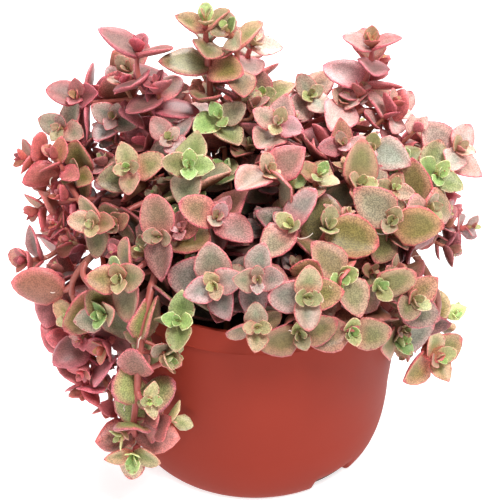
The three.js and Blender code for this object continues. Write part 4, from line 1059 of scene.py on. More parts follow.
def aerial_roots(standing, leaves, crowd, rng):
    """Thin pale roots from some of the older pairs, each a walk of short steps that wander and sink. Gives
    each with the stem that it grows from."""
    roots = []
    nodes = sorted({(leaf["stem"], leaf["distance"]) for leaf in leaves if leaf["age"] >= AERIAL_AGE})
    for index, distance in nodes:
        if rng.random() > AERIAL_SHARE:
            continue
        stem = standing[index]
        f = frame_at(stem, distance)
        for turn in rng.uniform(0, 2 * math.pi, AERIAL_TRIES):
            course = f["side"] * math.cos(turn) + f["cross"] * math.sin(turn)
            walk = [f["centre"] + AERIAL_START * course]
            for _ in range(rng.integers(*AERIAL_STEPS)):
                walk.append(walk[-1] + AERIAL_PACE * course)
                course = unit(course + AERIAL_WANDER * rng.normal(size=3) - AERIAL_SINK * UP)
            if crowd.clear(np.array(walk[AERIAL_JOINED:])[None])[0]:
                roots.append((index, StemLine(walk)))
                break
    return roots


def tones_of(leaf, stem, rng):
    """The four colours of a leaf: between the tones of its age, mixed with another, darker by painted shade
    the further inside the mound it is, lighter by painted light on a hanging stem, and lighter or darker by a
    draw."""
    fade = FADES[stem["tone"]]
    place = np.clip(leaf["age"] + TONE_START + rng.normal(0, TONE_PLAY), 0, len(fade) - 1)
    low = int(place)
    high = min(low + 1, len(fade) - 1)
    tones = TONES[fade[low]] + (TONES[fade[high]] - TONES[fade[low]]) * (place - low)
    other = TONES[rng.choice(STRAY_TONES)]
    tones = tones + (other - tones) * STRAY_MOST * rng.random() ** 2 * (leaf["age"] > 0)
    if stem["name"] == "trailer":
        tones[3] = TRAILER_UNDER[leaf["age"] in TRAILER_DARK_AGES]
    # painted shade: leaves deep in the mound and below its top are darkened, as the leaves above shade them
    middle = leaf["root"] + 0.5 * leaf["length"] * leaf["out"]
    depth = 1 - np.linalg.norm((middle - MOUND_CENTRE) / MOUND_HALF_AXES)
    shaded = np.clip(depth / INNER_REACH, 0, 1) * np.clip((INNER_TOP - middle[2]) / INNER_FADE, 0, 1)
    tones = tones * (1 - INNER_SHADE * shaded)
    # painted light: leaves on stems that hang are made lighter, to make up for the mound's shade above them
    tones = tones * (HANGING_PAINTED_LIGHT if stem["tip"][2] < HANGING_BELOW else 1)
    return tones * rng.uniform(*LIGHTNESS) * rng.normal(1, HUE_PLAY, 3)


def flushed(tones, place, rng):
    """The four colours at each point of each leaf: the face turns towards the margin's pink near the base, on
    some leaves more than on others."""
    amount = np.clip(rng.normal(*FLUSH_USUAL, len(tones)), 0, FLUSH_MOST)
    amount = amount[:, None] * np.clip(1 - place[..., 1] / FLUSH_REACH, 0, 1)
    colours = np.repeat(tones[:, None], place.shape[1], axis=1)
    colours[:, :, :2] += (colours[:, :, 2:3] - colours[:, :, :2]) * amount[..., None, None]
    return colours.reshape(-1, 4, 3)


def put_leaves(piece, leaves, stem, rng):
    """Adds the leaves of a stem to its piece, the small ones with fewer rings."""
    for stations, own in (
        (STATIONS, [leaf for leaf in leaves if leaf["length"] >= SMALL_LEAF]),
        (SMALL_STATIONS, [leaf for leaf in leaves if leaf["length"] < SMALL_LEAF]),
    ):
        if not own:
            continue
        points, place, edge = leaf_surface(gathered(own), stations)
        faces = tube_faces(len(stations), AROUND, True)
        for k in range(len(own)):
            piece.put(points[k], faces, 0)
        tones = flushed(np.array([tones_of(leaf, stem, rng) for leaf in own]), place, rng)
        ages = np.array([leaf["age"] for leaf in own])
        speckle = np.clip(SPECKLE_BY_AGE * ages + rng.normal(SPECKLE_USUAL, SPECKLE_PLAY, len(own)), 0, 1)
        speckle = speckle * (SPECKLE_ON_RED if stem["tone"] in RED_TONES else 1)
        speckle = np.repeat(speckle, place.shape[1])
        piece.note(place=place.reshape(-1, 3), edge=edge.reshape(-1), tones=tones, speckle=speckle)


def put_stem(piece, stem, nodes, rng):
    """Adds a stem to its piece: green at the bud, then red, then brown towards the root, and on some stems a
    warmer brown all along."""
    points, faces, bell, distance = stem_surface(stem, nodes)
    piece.put(points, faces, 1)
    ageing = STEM_AGEING * (TRAILER_AGEING if stem["name"] == "trailer" else 1)
    share = np.clip((distance + stem["below"]) / ageing, 0, 1)[:, None]
    colour = STEM_YOUNG + (STEM_RED - STEM_YOUNG) * np.minimum(1, 2 * share)
    colour = colour + (STEM_OLD - colour) * np.clip(2 * share - 1, 0, 1)
    warm = max(0, rng.uniform(*WARM_LIMITS)) * (stem["name"] != "trailer")
    colour = colour + (STEM_WARM - colour) * warm
    bud = np.clip((BUD_GREEN_END - distance) / BUD_GREEN_FADE, 0, 1)[:, None]
    colour = colour + (TONES["bud"][0] - colour) * bud
    place = np.stack((bell, share[:, 0], 0 * bell), axis=1)
    piece.note(
        place=place, edge=bell * (1 - bud[:, 0]), speckle=0 * bell,
        tones=np.repeat(colour[:, None], 4, axis=1),
    )


def put_root(piece, line):
    """Adds an aerial root to its piece, thinner towards its tip."""
    distance = np.linspace(line.length, AERIAL_LAST_RING, AERIAL_RINGS)
    radius = AERIAL_RADIUS * (AERIAL_TIP_SHARE + (1 - AERIAL_TIP_SHARE) * distance / line.length)
    side = unit(np.cross(line.along(0), UP))
    points, faces = tube_surface(line, side, distance, radius, AERIAL_SIDES, line.at(0))
    piece.put(points, faces, 1)
    nothing = np.zeros(len(points))
    piece.note(
        place=np.zeros((len(points), 3)), edge=nothing, speckle=nothing,
        tones=np.broadcast_to(AERIAL_COLOUR, (len(points), 4, 3)),
    )


def leafy_stems():
    """The points, faces and attributes of each node's finer piece, by node."""
    standing = [{**stem, "girth": 1.0, "below": 0.0} for stem in grow_stems()]
    rng = np.random.default_rng(MORE_SEED)
    leaves = [{**leaf, **shape_of(leaf["age"] <= 0, rng)} for leaf in grow_leaves(standing)]
    leaf_points = samples_of(gathered(leaves)).reshape(-1, 3)
    crowd = Crowd(np.array(cad_box) / MM - (POT_AXIS_X, 0, 0), leaf_points)
    crowd.put(np.concatenate([stem["points"] for stem in standing]))
    crowd.put(leaf_points)
    for index, stem in enumerate(standing):
        levels = min(stem["pairs"], len(PAIRS) - stem["skip"])
        leaves += bud_leaves(index, stem, rng)
        leaves += lower_leaves(index, stem, levels, crowd, rng)
    shoots, more = side_shoots(standing, crowd, rng)
    roots = aerial_roots(standing, leaves, crowd, rng)
    leaves += more
    pieces = {}
    for index, stem in enumerate(standing + shoots):
        piece = pieces.setdefault(stem["node"], Surface())
        own = [leaf for leaf in leaves if leaf["stem"] == index]
        put_leaves(piece, own, stem, rng)
        put_stem(piece, stem, [leaf["distance"] for leaf in own], rng)
    for index, line in roots:
        put_root(pieces[standing[index]["node"]], line)
    return pieces


class Surface:
    """Points, faces, which finish each face has, and what each point says to the material."""

    def __init__(self):
        self.points, self.faces, self.finishes = [], [], []
        self.notes = {}
        self.count = 0

    def put(self, points, faces, finish):
        """Adds points, and the faces between them with their finish."""
        self.faces += [[i + self.count for i in face] for face in faces]
        self.finishes += [finish] * len(faces)
        self.points.append(points)
        self.count += len(points)

    def note(self, **notes):
        """Adds numbers for the points that were put since the last note."""
        for key, value in notes.items():
            self.notes.setdefault(key, []).append(value)


def new_object(name, data):
    """An object of the scene that holds this mesh, light or camera."""
    holder = bpy.data.objects.new(name, data)
    bpy.context.scene.collection.objects.link(holder)
    return holder


def make_piece(name, points, faces, materials, nodes, finishes=None, smooth_angle=None):
    """A piece from points in millimetres from the pot's axis, kept inside the box of the solids."""
    low, high = (np.array(corner) for corner in cad_box)
    placed = np.clip((points + (POT_AXIS_X, 0, 0)) * MM, low, high)
    mesh = bpy.data.meshes.new(name)
    mesh.from_pydata(placed.tolist(), [], faces)
    for material in materials:
        mesh.materials.append(material)
    mesh.polygons.foreach_set("material_index", finishes or [0] * len(faces))
    mesh.polygons.foreach_set("use_smooth", [True] * len(faces))
    if smooth_angle:
        mesh.set_sharp_from_angle(angle=math.radians(smooth_angle))
    piece = new_object(name, mesh)
    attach(piece, "root")
    if nodes:
        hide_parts(*nodes)
    return piece


def set_numbers(mesh, name, values):
    """One number for each point, as an attribute."""
    mesh.attributes.new(name, "FLOAT", "POINT").data.foreach_set("value", values)


def set_notes(mesh, notes):
    """Attributes on the points: three numbers as a vector, one as a number, and each tone as a colour."""
    place, tones = np.concatenate(notes["place"]), np.concatenate(notes["tones"])
    mesh.attributes.new("place", "FLOAT_VECTOR", "POINT").data.foreach_set("vector", place.ravel())
    for name in ("edge", "speckle"):
        set_numbers(mesh, name, np.concatenate(notes[name]))
    for k, name in enumerate(("tone_middle", "tone_outer", "tone_margin", "tone_under")):
        colour = np.concatenate((tones[:, k], np.ones((len(tones), 1))), axis=1)
        mesh.attributes.new(name, "FLOAT_COLOR", "POINT").data.foreach_set("color", colour.ravel())


# The pot and the soil as turned surfaces

POT_SEGMENTS = 384
ROUNDING_STEPS = 12
WALL_TOP = RIM_RADIUS - BAND_STEP - BAND_FLARE
FLOOR_TOP = FLOOR_LIFT + WALL

# Edges sharper than this, in degrees, are creases of the pot
CREASE_ANGLE = 35

# The bead under the band, and rings close to an edge, which keep it crisp
BEAD = 0.22
BEAD_SLOPE = 0.55
BEAD_BACK = 0.4
EDGE_HOLD = 0.5
EDGE_DRAFT = 0.02

# The rim's round lip: how far each ring lies inside the rim and below its top
LIP = ((0.15, 0.1), (0.35, 0), (WALL - 0.3, 0), (WALL - 0.05, 0.15))

# What a notch lifts: all outside a cone that starts this far inside the foot's slope and leans out by this
# much a millimetre, which is the wall's outer side, and all that is this near the table
SKIN_DEPTH = 0.1
SKIN_LEAN = 0.45
SOLE = 1.0

DRILL_SIDES = 24

# The soil's top: the low waves of its solid, as waves a millimetre, and finer crumbs. A row of crumbs is a
# height, then two sines, each with its waves along X and along Y and its shift
SOIL_SEGMENTS = 120
SOIL_RINGS = 40
SOIL_RELIEF = 1.1
SOIL_WAVES = (0.31, 0.27, 0.55, 0.2)
WAVE_SHIFT = 1.1
WAVE_SHARE = 0.6
SOIL_CRUMBS = (
    (0.45, (1.25, 0.7, 0), (-0.5, 1.1, 2)),
    (0.3, (2.1, -1.3, 1), (0.8, 1.9, 0)),
    (0.2, (3.3, 2.2, 0), (-1.7, 3.1, 0.5)),
)

# Loose grit: how many grains, their seed, longest sides, other two sides as shares of that, dents, and how
# far they keep from the pot and stand above the soil
GRIT_COUNT = 420
GRIT_SEED = 5
GRIT_SIZES = (0.5, 1.6)
GRIT_SIDES = ((0.5, 1), (0.3, 0.8))
GRIT_DENTS = 0.25
GRIT_GAP = 2
GRIT_LIFT = 0.3

# An icosahedron with its corners one from its middle, 1.05 apart along an edge and 1.7 or more otherwise
GOLDEN_RATIO = (1 + math.sqrt(5)) / 2
LUMP_POINTS = unit(np.array([
    *((a, b * GOLDEN_RATIO, 0) for a in (-1, 1) for b in (-1, 1)),
    *((0, a, b * GOLDEN_RATIO) for a in (-1, 1) for b in (-1, 1)),
    *((a * GOLDEN_RATIO, 0, b) for a in (-1, 1) for b in (-1, 1)),
], float))
LUMP_EDGE = 1.1


def foot_curve(inset):
    """The rounded foot of the wall as a quarter ellipse from below, drawn in by the wall or more."""
    t = np.pi / 2 * (1 - np.arange(ROUNDING_STEPS + 1) / ROUNDING_STEPS)
    across = FOOT_RADIUS + (SHOULDER_RADIUS - FOOT_RADIUS) * np.cos(t)
    across = across - inset * (WALL_AT_FOOT + (1 - WALL_AT_FOOT) * np.cos(t))
    return np.stack((across, SHOULDER_HEIGHT * (1 - np.sin(t)) + inset * np.sin(t)), axis=1)


def turned(profile, segments):
    """A profile of radius and height turned round the Z axis, with a fan at both ends on the axis."""
    ring = np.array(profile[1:-1])
    angle = 2 * math.pi * np.arange(segments) / segments
    points = np.stack((
        ring[:, None, 0] * np.cos(angle), ring[:, None, 0] * np.sin(angle), ring[:, None, 1] + 0 * angle,
    ), axis=-1).reshape(-1, 3)
    faces = tube_faces(len(ring), segments, False)[:-2]
    first, last = len(points), len(points) + 1
    base = (len(ring) - 1) * segments
    for a in range(segments):
        b = (a + 1) % segments
        faces += [[first, b, a], [last, base + a, base + b]]
    ends = np.array(((0, 0, profile[0][1]), (0, 0, profile[-1][1])))
    return np.vstack((points, ends)), faces


def smoothstep(x):
    """A smooth rise from 0 to 1: three times the square less twice the cube."""
    x = np.clip(x, 0, 1)
    return x * x * (3 - 2 * x)


def pot_surface():
    """The pot's profile turned, and its foot lifted in each notch: heights under twice the notch's are
    squeezed up by a smooth step across the notch's width."""
    band = WALL_TOP + BAND_STEP
    inner = FOOT_RADIUS - FOOT_WIDTH - FOOT_SLOPE
    profile = [
        (0, FLOOR_LIFT),
        (inner, FLOOR_LIFT),
        (FOOT_RADIUS - FOOT_WIDTH, 0),
        *foot_curve(0),
        (WALL_TOP - EDGE_DRAFT, BAND_BOTTOM - BAND_STEP - EDGE_HOLD),
        (WALL_TOP, BAND_BOTTOM - BAND_STEP),
        (WALL_TOP + BEAD_SLOPE * BAND_STEP + BEAD, BAND_BOTTOM - BEAD_SLOPE * BAND_STEP),
        (band + BEAD, BAND_BOTTOM - BEAD),
        (band + BEAD_BACK * BEAD, BAND_BOTTOM + BEAD),
        (band + EDGE_DRAFT, BAND_BOTTOM + EDGE_HOLD),
        (RIM_RADIUS - EDGE_DRAFT, POT_HEIGHT - EDGE_HOLD),
        *((RIM_RADIUS - inward, POT_HEIGHT - down) for inward, down in LIP),
        (WALL_TOP - WALL, BAND_BOTTOM - WALL),
        *foot_curve(WALL)[1:][::-1],
        (FOOT_RADIUS - FOOT_SLOPE, FLOOR_TOP),
        (0, FLOOR_TOP),
    ]
    points, faces = turned(profile, POT_SEGMENTS)
    angle, r, z = np.arctan2(points[:, 1], points[:, 0]), np.hypot(points[:, 0], points[:, 1]), points[:, 2]
    lift = np.zeros(len(points))
    for notch in NOTCH_ANGLES:
        aside = np.abs((angle - math.radians(notch) + math.pi) % (2 * math.pi) - math.pi) * FOOT_RADIUS
        lift = np.maximum(lift, smoothstep((NOTCH_WIDTH / 2 + NOTCH_END / 2 - aside) / NOTCH_END))
    lift = lift * np.clip((r - inner) / FOOT_SLOPE, 0, 1) * (z < 2 * NOTCH_HEIGHT)
    outside = r > FOOT_RADIUS - FOOT_SLOPE - SKIN_DEPTH + SKIN_LEAN * z
    squeezed = z + lift * (NOTCH_HEIGHT - z / 2)
    points[:, 2] = np.where(outside | (z < SOLE), squeezed, z)
    return points, faces


def drill_holes(pot):
    """Cuts the drain holes, evenly spaced on a circle, through the floor with one mesh of upright bars."""
    angle = 2 * math.pi * np.arange(DRILL_SIDES) / DRILL_SIDES
    bar = np.stack((np.cos(angle), np.sin(angle), 0 * angle), axis=1) * DRAIN_RADIUS
    drill = Surface()
    for k in range(DRAIN_COUNT):
        turn = 2 * math.pi * (k + 0.5) / DRAIN_COUNT
        middle = np.array((math.cos(turn), math.sin(turn), 0)) * DRAIN_CIRCLE
        rings = [bar + middle + z * UP for z in (FLOOR_LIFT - 2 * WALL, FLOOR_TOP + WALL)]
        drill.put(np.concatenate(rings), tube_faces(2, DRILL_SIDES, False), 0)
    mesh = bpy.data.meshes.new("drill")
    mesh.from_pydata(((np.concatenate(drill.points) + (POT_AXIS_X, 0, 0)) * MM).tolist(), [], drill.faces)
    cutter = new_object("drill", mesh)
    cut = pot.modifiers.new("drain_holes", "BOOLEAN")
    cut.operation, cut.solver, cut.object = "DIFFERENCE", "EXACT", cutter
    bpy.context.view_layer.update()
    shaped = bpy.data.meshes.new_from_object(pot.evaluated_get(bpy.context.evaluated_depsgraph_get()))
    pot.modifiers.clear()
    pot.data = shaped
    bpy.data.objects.remove(cutter)


def soil_height(x, y):
    """The soil's top: the low waves of its solid, and finer crumbs as products of two sines, whose waves are
    4 to 5, 2.5 to 3 and about 1.7 mm long."""
    a, b, c, d = SOIL_WAVES
    height = SOIL_TOP + SOIL_RELIEF * (
        np.sin(a * x + WAVE_SHIFT) * np.cos(b * y) + WAVE_SHARE * np.sin(c * y - d * x)
    )
    for crumb, *sines in SOIL_CRUMBS:
        first, second = (np.sin(along * x + across * y + shift) for along, across, shift in sines)
        height = height + crumb * first * second
    return height


def soil_edge():
    """The radius of the soil's top: the wall's inner side at that height, less a gap."""
    share = (SOIL_EDGE - SHOULDER_HEIGHT) / (BAND_BOTTOM - WALL - SHOULDER_HEIGHT)
    return SHOULDER_RADIUS + (WALL_TOP - SHOULDER_RADIUS) * share - WALL - SOIL_GAP


def soil_surface():
    """The inside of the pot turned, with a top of fine rings whose height is the soil's."""
    foot = FOOT_RADIUS - FOOT_SLOPE - SOIL_GAP
    bottom = FLOOR_TOP + SOIL_GAP
    rings = [(soil_edge() * (1 - k / SOIL_RINGS), SOIL_TOP) for k in range(1, SOIL_RINGS)]
    sides = [(0, bottom), (foot, bottom), *foot_curve(WALL + SOIL_GAP)[1:], (soil_edge(), SOIL_EDGE)]
    points, faces = turned([*sides, *rings, (0, SOIL_TOP)], SOIL_SEGMENTS)
    top = points[:, 2] == SOIL_TOP
    points[top, 2] = soil_height(points[top, 0], points[top, 1])
    return points, faces


def lump_faces():
    """The twenty triangles of an icosahedron: each three points that lie an edge apart, turned outwards."""
    edge = np.linalg.norm(LUMP_POINTS[:, None] - LUMP_POINTS[None], axis=2) < LUMP_EDGE
    faces = []
    for a, b, c in itertools.combinations(range(len(LUMP_POINTS)), 3):
        if edge[a, b] and edge[b, c] and edge[a, c]:
            p, q, r = LUMP_POINTS[[a, b, c]]
            faces.append([a, b, c] if np.cross(q - p, r - p).dot(p) > 0 else [a, c, b])
    return faces


def grit_surface():
    """Crumbs of peat and chips of bark on the soil: icosahedra stretched and dented by seeded draws, and spun
    about the upright. Gives the points, the faces, and what kind of grain each point is on, from 0 to 1."""
    rng = np.random.default_rng(GRIT_SEED)
    corners, lump = len(LUMP_POINTS), lump_faces()
    r = (soil_edge() - GRIT_GAP) * np.sqrt(rng.random(GRIT_COUNT))
    turn = 2 * math.pi * rng.random(GRIT_COUNT)
    x, y = r * np.cos(turn), r * np.sin(turn)
    longest = rng.uniform(*GRIT_SIZES, GRIT_COUNT)[:, None]
    shares = [np.ones(GRIT_COUNT), *(rng.uniform(*limits, GRIT_COUNT) for limits in GRIT_SIDES)]
    dents = 1 + GRIT_DENTS * rng.uniform(-1, 1, (GRIT_COUNT, corners, 1))
    shape = LUMP_POINTS[None] * (longest * np.stack(shares, axis=1))[:, None] * dents
    spin = 2 * math.pi * rng.random(GRIT_COUNT)[:, None]
    c, s = np.cos(spin), np.sin(spin)
    along, across, up = np.moveaxis(shape, -1, 0)
    spun = np.stack((c * along - s * across, s * along + c * across, up), axis=-1)
    points = spun + np.stack((x, y, soil_height(x, y) + GRIT_LIFT), axis=1)[:, None]
    faces = [[i + corners * k for i in face] for k in range(GRIT_COUNT) for face in lump]
    kind = np.repeat(rng.random(GRIT_COUNT), corners)
    return points.reshape(-1, 3), faces, kind


# Finishes


def new_material(name):
    """An empty material and its node tree."""
    material = bpy.data.materials.new(name)
    material.use_nodes = True
    tree = material.node_tree
    tree.nodes.clear()
    return material, tree


def add(tree, kind, inputs=None, **settings):
    """Adds a node with its settings, and sets or links its inputs by name or place."""
    node = tree.nodes.new("ShaderNode" + kind)
    for key, value in settings.items():
        setattr(node, key, value)
    for key, value in (inputs or {}).items():
        if isinstance(value, bpy.types.NodeSocket):
            tree.links.new(value, node.inputs[key])
        else:
            node.inputs[key].default_value = value
    return node


def per_mm(size):
    """The scale of a pattern on Object coordinates whose features are so many millimetres wide."""
    return 1 / (size * MM)


def rgba(colour):
    """A hex colour as a socket takes it."""
    return (*linear(colour), 1)


def leaf_finish():
    """Living leaf, grown: a waxy skin over wet flesh, so a soft gloss and a little light inside. Its face is
    finely speckled, the more the older it is, and along the pink margin stands a band of fine red dots."""
    material, tree = new_material("crassula_leaf_grown")
    here = add(tree, "TexCoord").outputs["Object"]
    place = add(tree, "Attribute", attribute_name="place").outputs["Vector"]
    parts = add(tree, "SeparateXYZ", {0: place}).outputs
    edge = add(tree, "Attribute", attribute_name="edge").outputs["Fac"]
    speckle = add(tree, "Attribute", attribute_name="speckle").outputs["Fac"]
    tones = {
        name: add(tree, "Attribute", attribute_name="tone_" + name).outputs["Color"]
        for name in ("middle", "outer", "margin", "under")
    }
    # blotches 5 mm wide, which shift the margin's band in and out, and a grain 0.4 mm wide, drawn coarser
    # than the real cells, which are too fine to show
    blotch = add(tree, "TexNoise", {"Vector": here, "Scale": per_mm(5), "Detail": 2}).outputs["Fac"]
    grain = add(tree, "TexNoise", {"Vector": here, "Scale": per_mm(0.4), "Detail": 0}).outputs["Fac"]
    wobble = add(tree, "MapRange", {"Value": blotch, 3: -0.16, 4: 0.16}).outputs[0]
    edge_here = add(tree, "Math", {0: edge, 1: wobble}, operation="ADD").outputs[0]
    # from the face's middle to its outer part, the underside, and which of the two sides this is
    outward = add(tree, "MapRange", {"Value": edge_here, 1: 0.05, 2: 0.7}, interpolation_type="SMOOTHSTEP")
    face = add(tree, "Mix", {0: outward.outputs[0], 6: tones["middle"], 7: tones["outer"]}, data_type="RGBA")
    near = add(tree, "MapRange", {"Value": edge_here, 1: 0.3, 2: 1.0, 3: 0, 4: 0.6}).outputs[0]
    under = add(tree, "Mix", {0: near, 6: tones["under"], 7: tones["margin"]}, data_type="RGBA")
    upper = add(tree, "MapRange", {"Value": parts[2], 1: 0.4, 2: 0.6}).outputs[0]
    skin = add(tree, "Mix", {0: upper, 6: under.outputs[2], 7: face.outputs[2]}, data_type="RGBA").outputs[2]
    # the pink margin, over the outer sixth of the width and the length
    aside = add(tree, "Math", {0: parts[0]}, operation="ABSOLUTE").outputs[0]
    outmost = add(tree, "Math", {0: aside, 1: parts[1]}, operation="MAXIMUM").outputs[0]
    rim = add(tree, "MapRange", {"Value": outmost, 1: 0.84, 2: 0.97}, interpolation_type="SMOOTHSTEP")
    skin = add(tree, "Mix", {0: rim.outputs[0], 6: skin, 7: tones["margin"]}, data_type="RGBA").outputs[2]
    # red dots about 0.6 mm wide in cells of 1.2 mm, in a band at the margin of the upper side
    cells = add(tree, "TexVoronoi", {"Vector": here, "Scale": per_mm(1.2)}).outputs["Distance"]
    dot = add(tree, "MapRange", {"Value": cells, 1: 0.2, 2: 0.32, 3: 0.75, 4: 0}).outputs[0]
    band = add(tree, "MapRange", {"Value": edge, 1: 0.7, 2: 0.85}).outputs[0]
    dotted = add(tree, "Math", {0: dot, 1: band}, operation="MULTIPLY").outputs[0]
    dotted = add(tree, "Math", {0: dotted, 1: upper}, operation="MULTIPLY").outputs[0]
    skin = add(tree, "Mix", {0: dotted, 6: skin, 7: rgba("#a8474c")}, data_type="RGBA").outputs[2]
    # light and dark by the grain and a mottle 1.6 mm wide, and dark specks where the grain is low
    mottle = add(tree, "TexNoise", {"Vector": here, "Scale": per_mm(1.6), "Detail": 2}).outputs["Fac"]
    mixed = add(tree, "Mix", {0: 0.5, 2: grain, 3: mottle}).outputs[0]
    shade = add(tree, "MapRange", {"Value": mixed, 1: 0.36, 2: 0.64, 3: 0.8, 4: 1.18}).outputs[0]
    speck = add(tree, "MapRange", {"Value": grain, 1: 0.42, 2: 0.56, 3: 0.74, 4: 1.04}).outputs[0]
    speck = add(tree, "Mix", {0: speckle, 2: 1.0, 3: speck}).outputs[0]
    shade = add(tree, "Math", {0: shade, 1: speck}, operation="MULTIPLY").outputs[0]
    shade = add(tree, "CombineXYZ", {0: shade, 1: shade, 2: shade}).outputs[0]
    skin = add(tree, "Mix", {0: 1.0, 6: skin, 7: shade}, data_type="RGBA", blend_type="MULTIPLY").outputs[2]
    relief = add(tree, "Bump", {"Height": grain, "Strength": 0.25, "Distance": 0.12 * MM}).outputs[0]
    skin_shader = add(tree, "BsdfPrincipled", {
        "Base Color": skin, "Normal": relief, "Roughness": 0.45, "IOR": 1.42, "Specular IOR Level": 0.5,
        "Subsurface Weight": 0.08, "Subsurface Radius": (1.0, 0.6, 0.3), "Subsurface Scale": 1.0 * MM,
    })
    add(tree, "OutputMaterial", {"Surface": skin_shader.outputs[0]})
    return material


def stem_finish():
    """Living stem, grown: a smooth, juicy skin with a soft gloss, pale streaks 1.6 mm wide and darker rings
    at the pairs of leaves."""
    material, tree = new_material("crassula_stem_grown")
    here = add(tree, "TexCoord").outputs["Object"]
    tone = add(tree, "Attribute", attribute_name="tone_middle").outputs["Color"]
    bell = add(tree, "Attribute", attribute_name="edge").outputs["Fac"]
    streak = add(tree, "TexNoise", {"Vector": here, "Scale": per_mm(1.6), "Detail": 2}).outputs["Fac"]
    skin = add(tree, "Mix", {0: streak, 6: tone, 7: rgba("#d88878")}, data_type="RGBA").outputs[2]
    skin = add(tree, "Mix", {0: 0.45, 6: tone, 7: skin}, data_type="RGBA").outputs[2]
    scar = add(tree, "MapRange", {"Value": bell, 1: 0.55, 2: 1.0, 3: 0, 4: 0.45}).outputs[0]
    skin = add(tree, "Mix", {0: scar, 6: skin, 7: rgba("#7c4636")}, data_type="RGBA").outputs[2]
    relief = add(tree, "Bump", {"Height": streak, "Strength": 0.3, "Distance": 0.15 * MM}).outputs[0]
    shader = add(tree, "BsdfPrincipled", {
        "Base Color": skin, "Normal": relief, "Roughness": 0.42, "IOR": 1.42, "Subsurface Weight": 0.1,
        "Subsurface Radius": (1.0, 0.4, 0.25), "Subsurface Scale": 1.0 * MM,
    })
    add(tree, "OutputMaterial", {"Surface": shader.outputs[0]})
    return material


def pot_finish():
    """Polypropylene, injection moulded: one colour through and through, and a satin skin with a faint mottle
    28 mm wide from the flow of the melt, and a fine grain from the mould, drawn coarser at 0.6 mm to show."""
    material, tree = new_material("polypropylene_moulded")
    here = add(tree, "TexCoord").outputs["Object"]
    flow = add(tree, "TexNoise", {"Vector": here, "Scale": per_mm(28), "Detail": 3}).outputs["Fac"]
    fine = add(tree, "TexNoise", {"Vector": here, "Scale": per_mm(0.6), "Detail": 2}).outputs["Fac"]
    base = add(tree, "Mix", {0: flow, 6: rgba("#8a2e20"), 7: rgba("#98382a")}, data_type="RGBA").outputs[2]
    rough = add(tree, "MapRange", {"Value": flow, 1: 0.3, 2: 0.7, 3: 0.5, 4: 0.6}).outputs[0]
    relief = add(tree, "Bump", {"Height": fine, "Strength": 0.15, "Distance": 0.05 * MM}).outputs[0]
    shader = add(tree, "BsdfPrincipled", {
        "Base Color": base, "Roughness": rough, "Normal": relief, "IOR": 1.49, "Specular IOR Level": 0.1,
    })
    add(tree, "OutputMaterial", {"Surface": shader.outputs[0]})
    return material


def soil_finish():
    """Peat and fine bark, loose and moist: dark and dull, with crumbs 2 mm wide. A grain's kind, from 0 to 1,
    makes most of the grit peat, a quarter of it bark and a few grains pale stone."""
    material, tree = new_material("peat_and_bark_loose")
    here = add(tree, "TexCoord").outputs["Object"]
    kind = add(tree, "Attribute", attribute_name="edge").outputs["Fac"]
    crumb = add(tree, "TexNoise", {"Vector": here, "Scale": per_mm(2), "Detail": 4}).outputs["Fac"]
    peat = add(tree, "Mix", {0: crumb, 6: rgba("#2a1c14"), 7: rgba("#5a4030")}, data_type="RGBA").outputs[2]
    barky = add(tree, "MapRange", {"Value": kind, 1: 0.7, 2: 0.72}).outputs[0]
    colour = add(tree, "Mix", {0: barky, 6: peat, 7: rgba("#8a6246")}, data_type="RGBA").outputs[2]
    stony = add(tree, "MapRange", {"Value": kind, 1: 0.94, 2: 0.95}).outputs[0]
    colour = add(tree, "Mix", {0: stony, 6: colour, 7: rgba("#c9bfae")}, data_type="RGBA").outputs[2]
    relief = add(tree, "Bump", {"Height": crumb, "Strength": 0.8, "Distance": 0.6 * MM}).outputs[0]
    shader = add(tree, "BsdfPrincipled", {"Base Color": colour, "Roughness": 0.9, "Normal": relief})
    add(tree, "OutputMaterial", {"Surface": shader.outputs[0]})
    return material


# Making the pieces

leaf_material, stem_material = leaf_finish(), stem_finish()
pot_material, soil_material = pot_finish(), soil_finish()

for node, surface in leafy_stems().items():
    piece = make_piece(
        "leafy_" + node, np.concatenate(surface.points), surface.faces, (leaf_material, stem_material),
        ["stem_" + node], finishes=surface.finishes,
    )
    set_notes(piece.data, surface.notes)

points, faces = soil_surface()
potting_mix = make_piece("potting_mix", points, faces, (soil_material,), ["soil"])
set_numbers(potting_mix.data, "edge", np.zeros(len(points)))

points, faces, kind = grit_surface()
grit = make_piece("peat_crumbs", points, faces, (soil_material,), [])
set_numbers(grit.data, "edge", kind)

points, faces = pot_surface()
nursery_pot = make_piece(
    "nursery_pot", points, faces, (pot_material,), ["pot"], smooth_angle=CREASE_ANGLE,
)
drill_holes(nursery_pot)


# Floor, light and camera, in metres

FLOOR_HALF = 3.0
FLOOR_GLOW = 0.72
ROOM_LIGHT = 0.4
LENS = 100.8
FILM_WIDTH = 36.0
CAMERA_PLACE = (-0.0009, -0.3891, 0.3461)
CAMERA_DOWN = 34.9

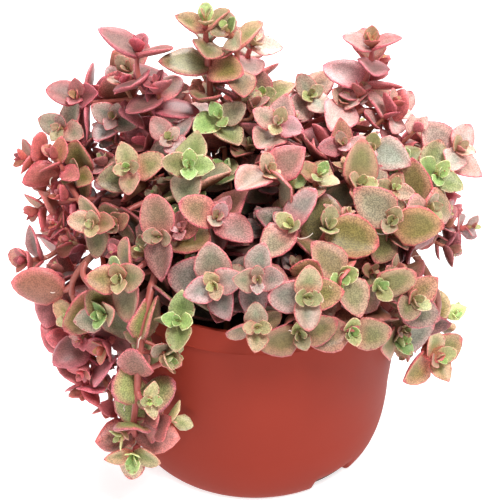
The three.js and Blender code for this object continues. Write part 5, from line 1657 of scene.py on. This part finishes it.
# The soft lights: place, power, width, and the point that each faces
LIGHTS = {
    "key": ((0.22, -0.42, 0.95), 10.5, 0.3, (0, 0, 0.07)),
    "fill": ((-0.8, -0.5, 0.5), 1.6, 0.8, (0, 0, 0.07)),
    "back": ((0, 0.6, 0.85), 14.0, 0.5, (0, 0, 0.12)),
}


def opal_finish():
    """Acrylic, cast as an opal sheet: white and dull, and lit from below as a product table is."""
    material, tree = new_material("acrylic_opal_sheet")
    shader = add(tree, "BsdfPrincipled", {
        "Base Color": rgba("#cccccc"), "Roughness": 0.9, "Emission Color": (1, 1, 1, 1),
        "Emission Strength": FLOOR_GLOW,
    })
    add(tree, "OutputMaterial", {"Surface": shader.outputs[0]})
    return material


def soft_light(name, place, power, size, towards):
    """A square soft light that faces a point."""
    light = bpy.data.lights.new(name, "AREA")
    light.energy, light.size, light.shape = power, size, "SQUARE"
    holder = new_object(name, light)
    holder.location = place
    x, y, z = unit(np.array(place, float) - np.array(towards, float))
    holder.rotation_euler = (math.acos(z), 0, math.atan2(y, x) + math.pi / 2)


floor_mesh = bpy.data.meshes.new("floor")
corners = [(x * FLOOR_HALF, y * FLOOR_HALF, 0) for x, y in ((-1, -1), (1, -1), (1, 1), (-1, 1))]
floor_mesh.from_pydata(corners, [], [[0, 1, 2, 3]])
floor_mesh.materials.append(opal_finish())
floor = new_object("floor", floor_mesh)

for name, settings in LIGHTS.items():
    soft_light(name, *settings)

world = bpy.data.worlds.new("studio")
world.use_nodes = True
background = world.node_tree.nodes["Background"]
background.inputs["Color"].default_value = (1, 1, 1, 1)
background.inputs["Strength"].default_value = ROOM_LIGHT
bpy.context.scene.world = world
bpy.context.scene.view_settings.view_transform = "Standard"

camera = bpy.data.cameras.new("camera")
camera.lens = LENS
camera.sensor_width = FILM_WIDTH
camera_holder = new_object("camera", camera)
camera_holder.location = CAMERA_PLACE
camera_holder.rotation_euler = (math.radians(90 - CAMERA_DOWN), 0, 0)
bpy.context.scene.camera = camera_holder
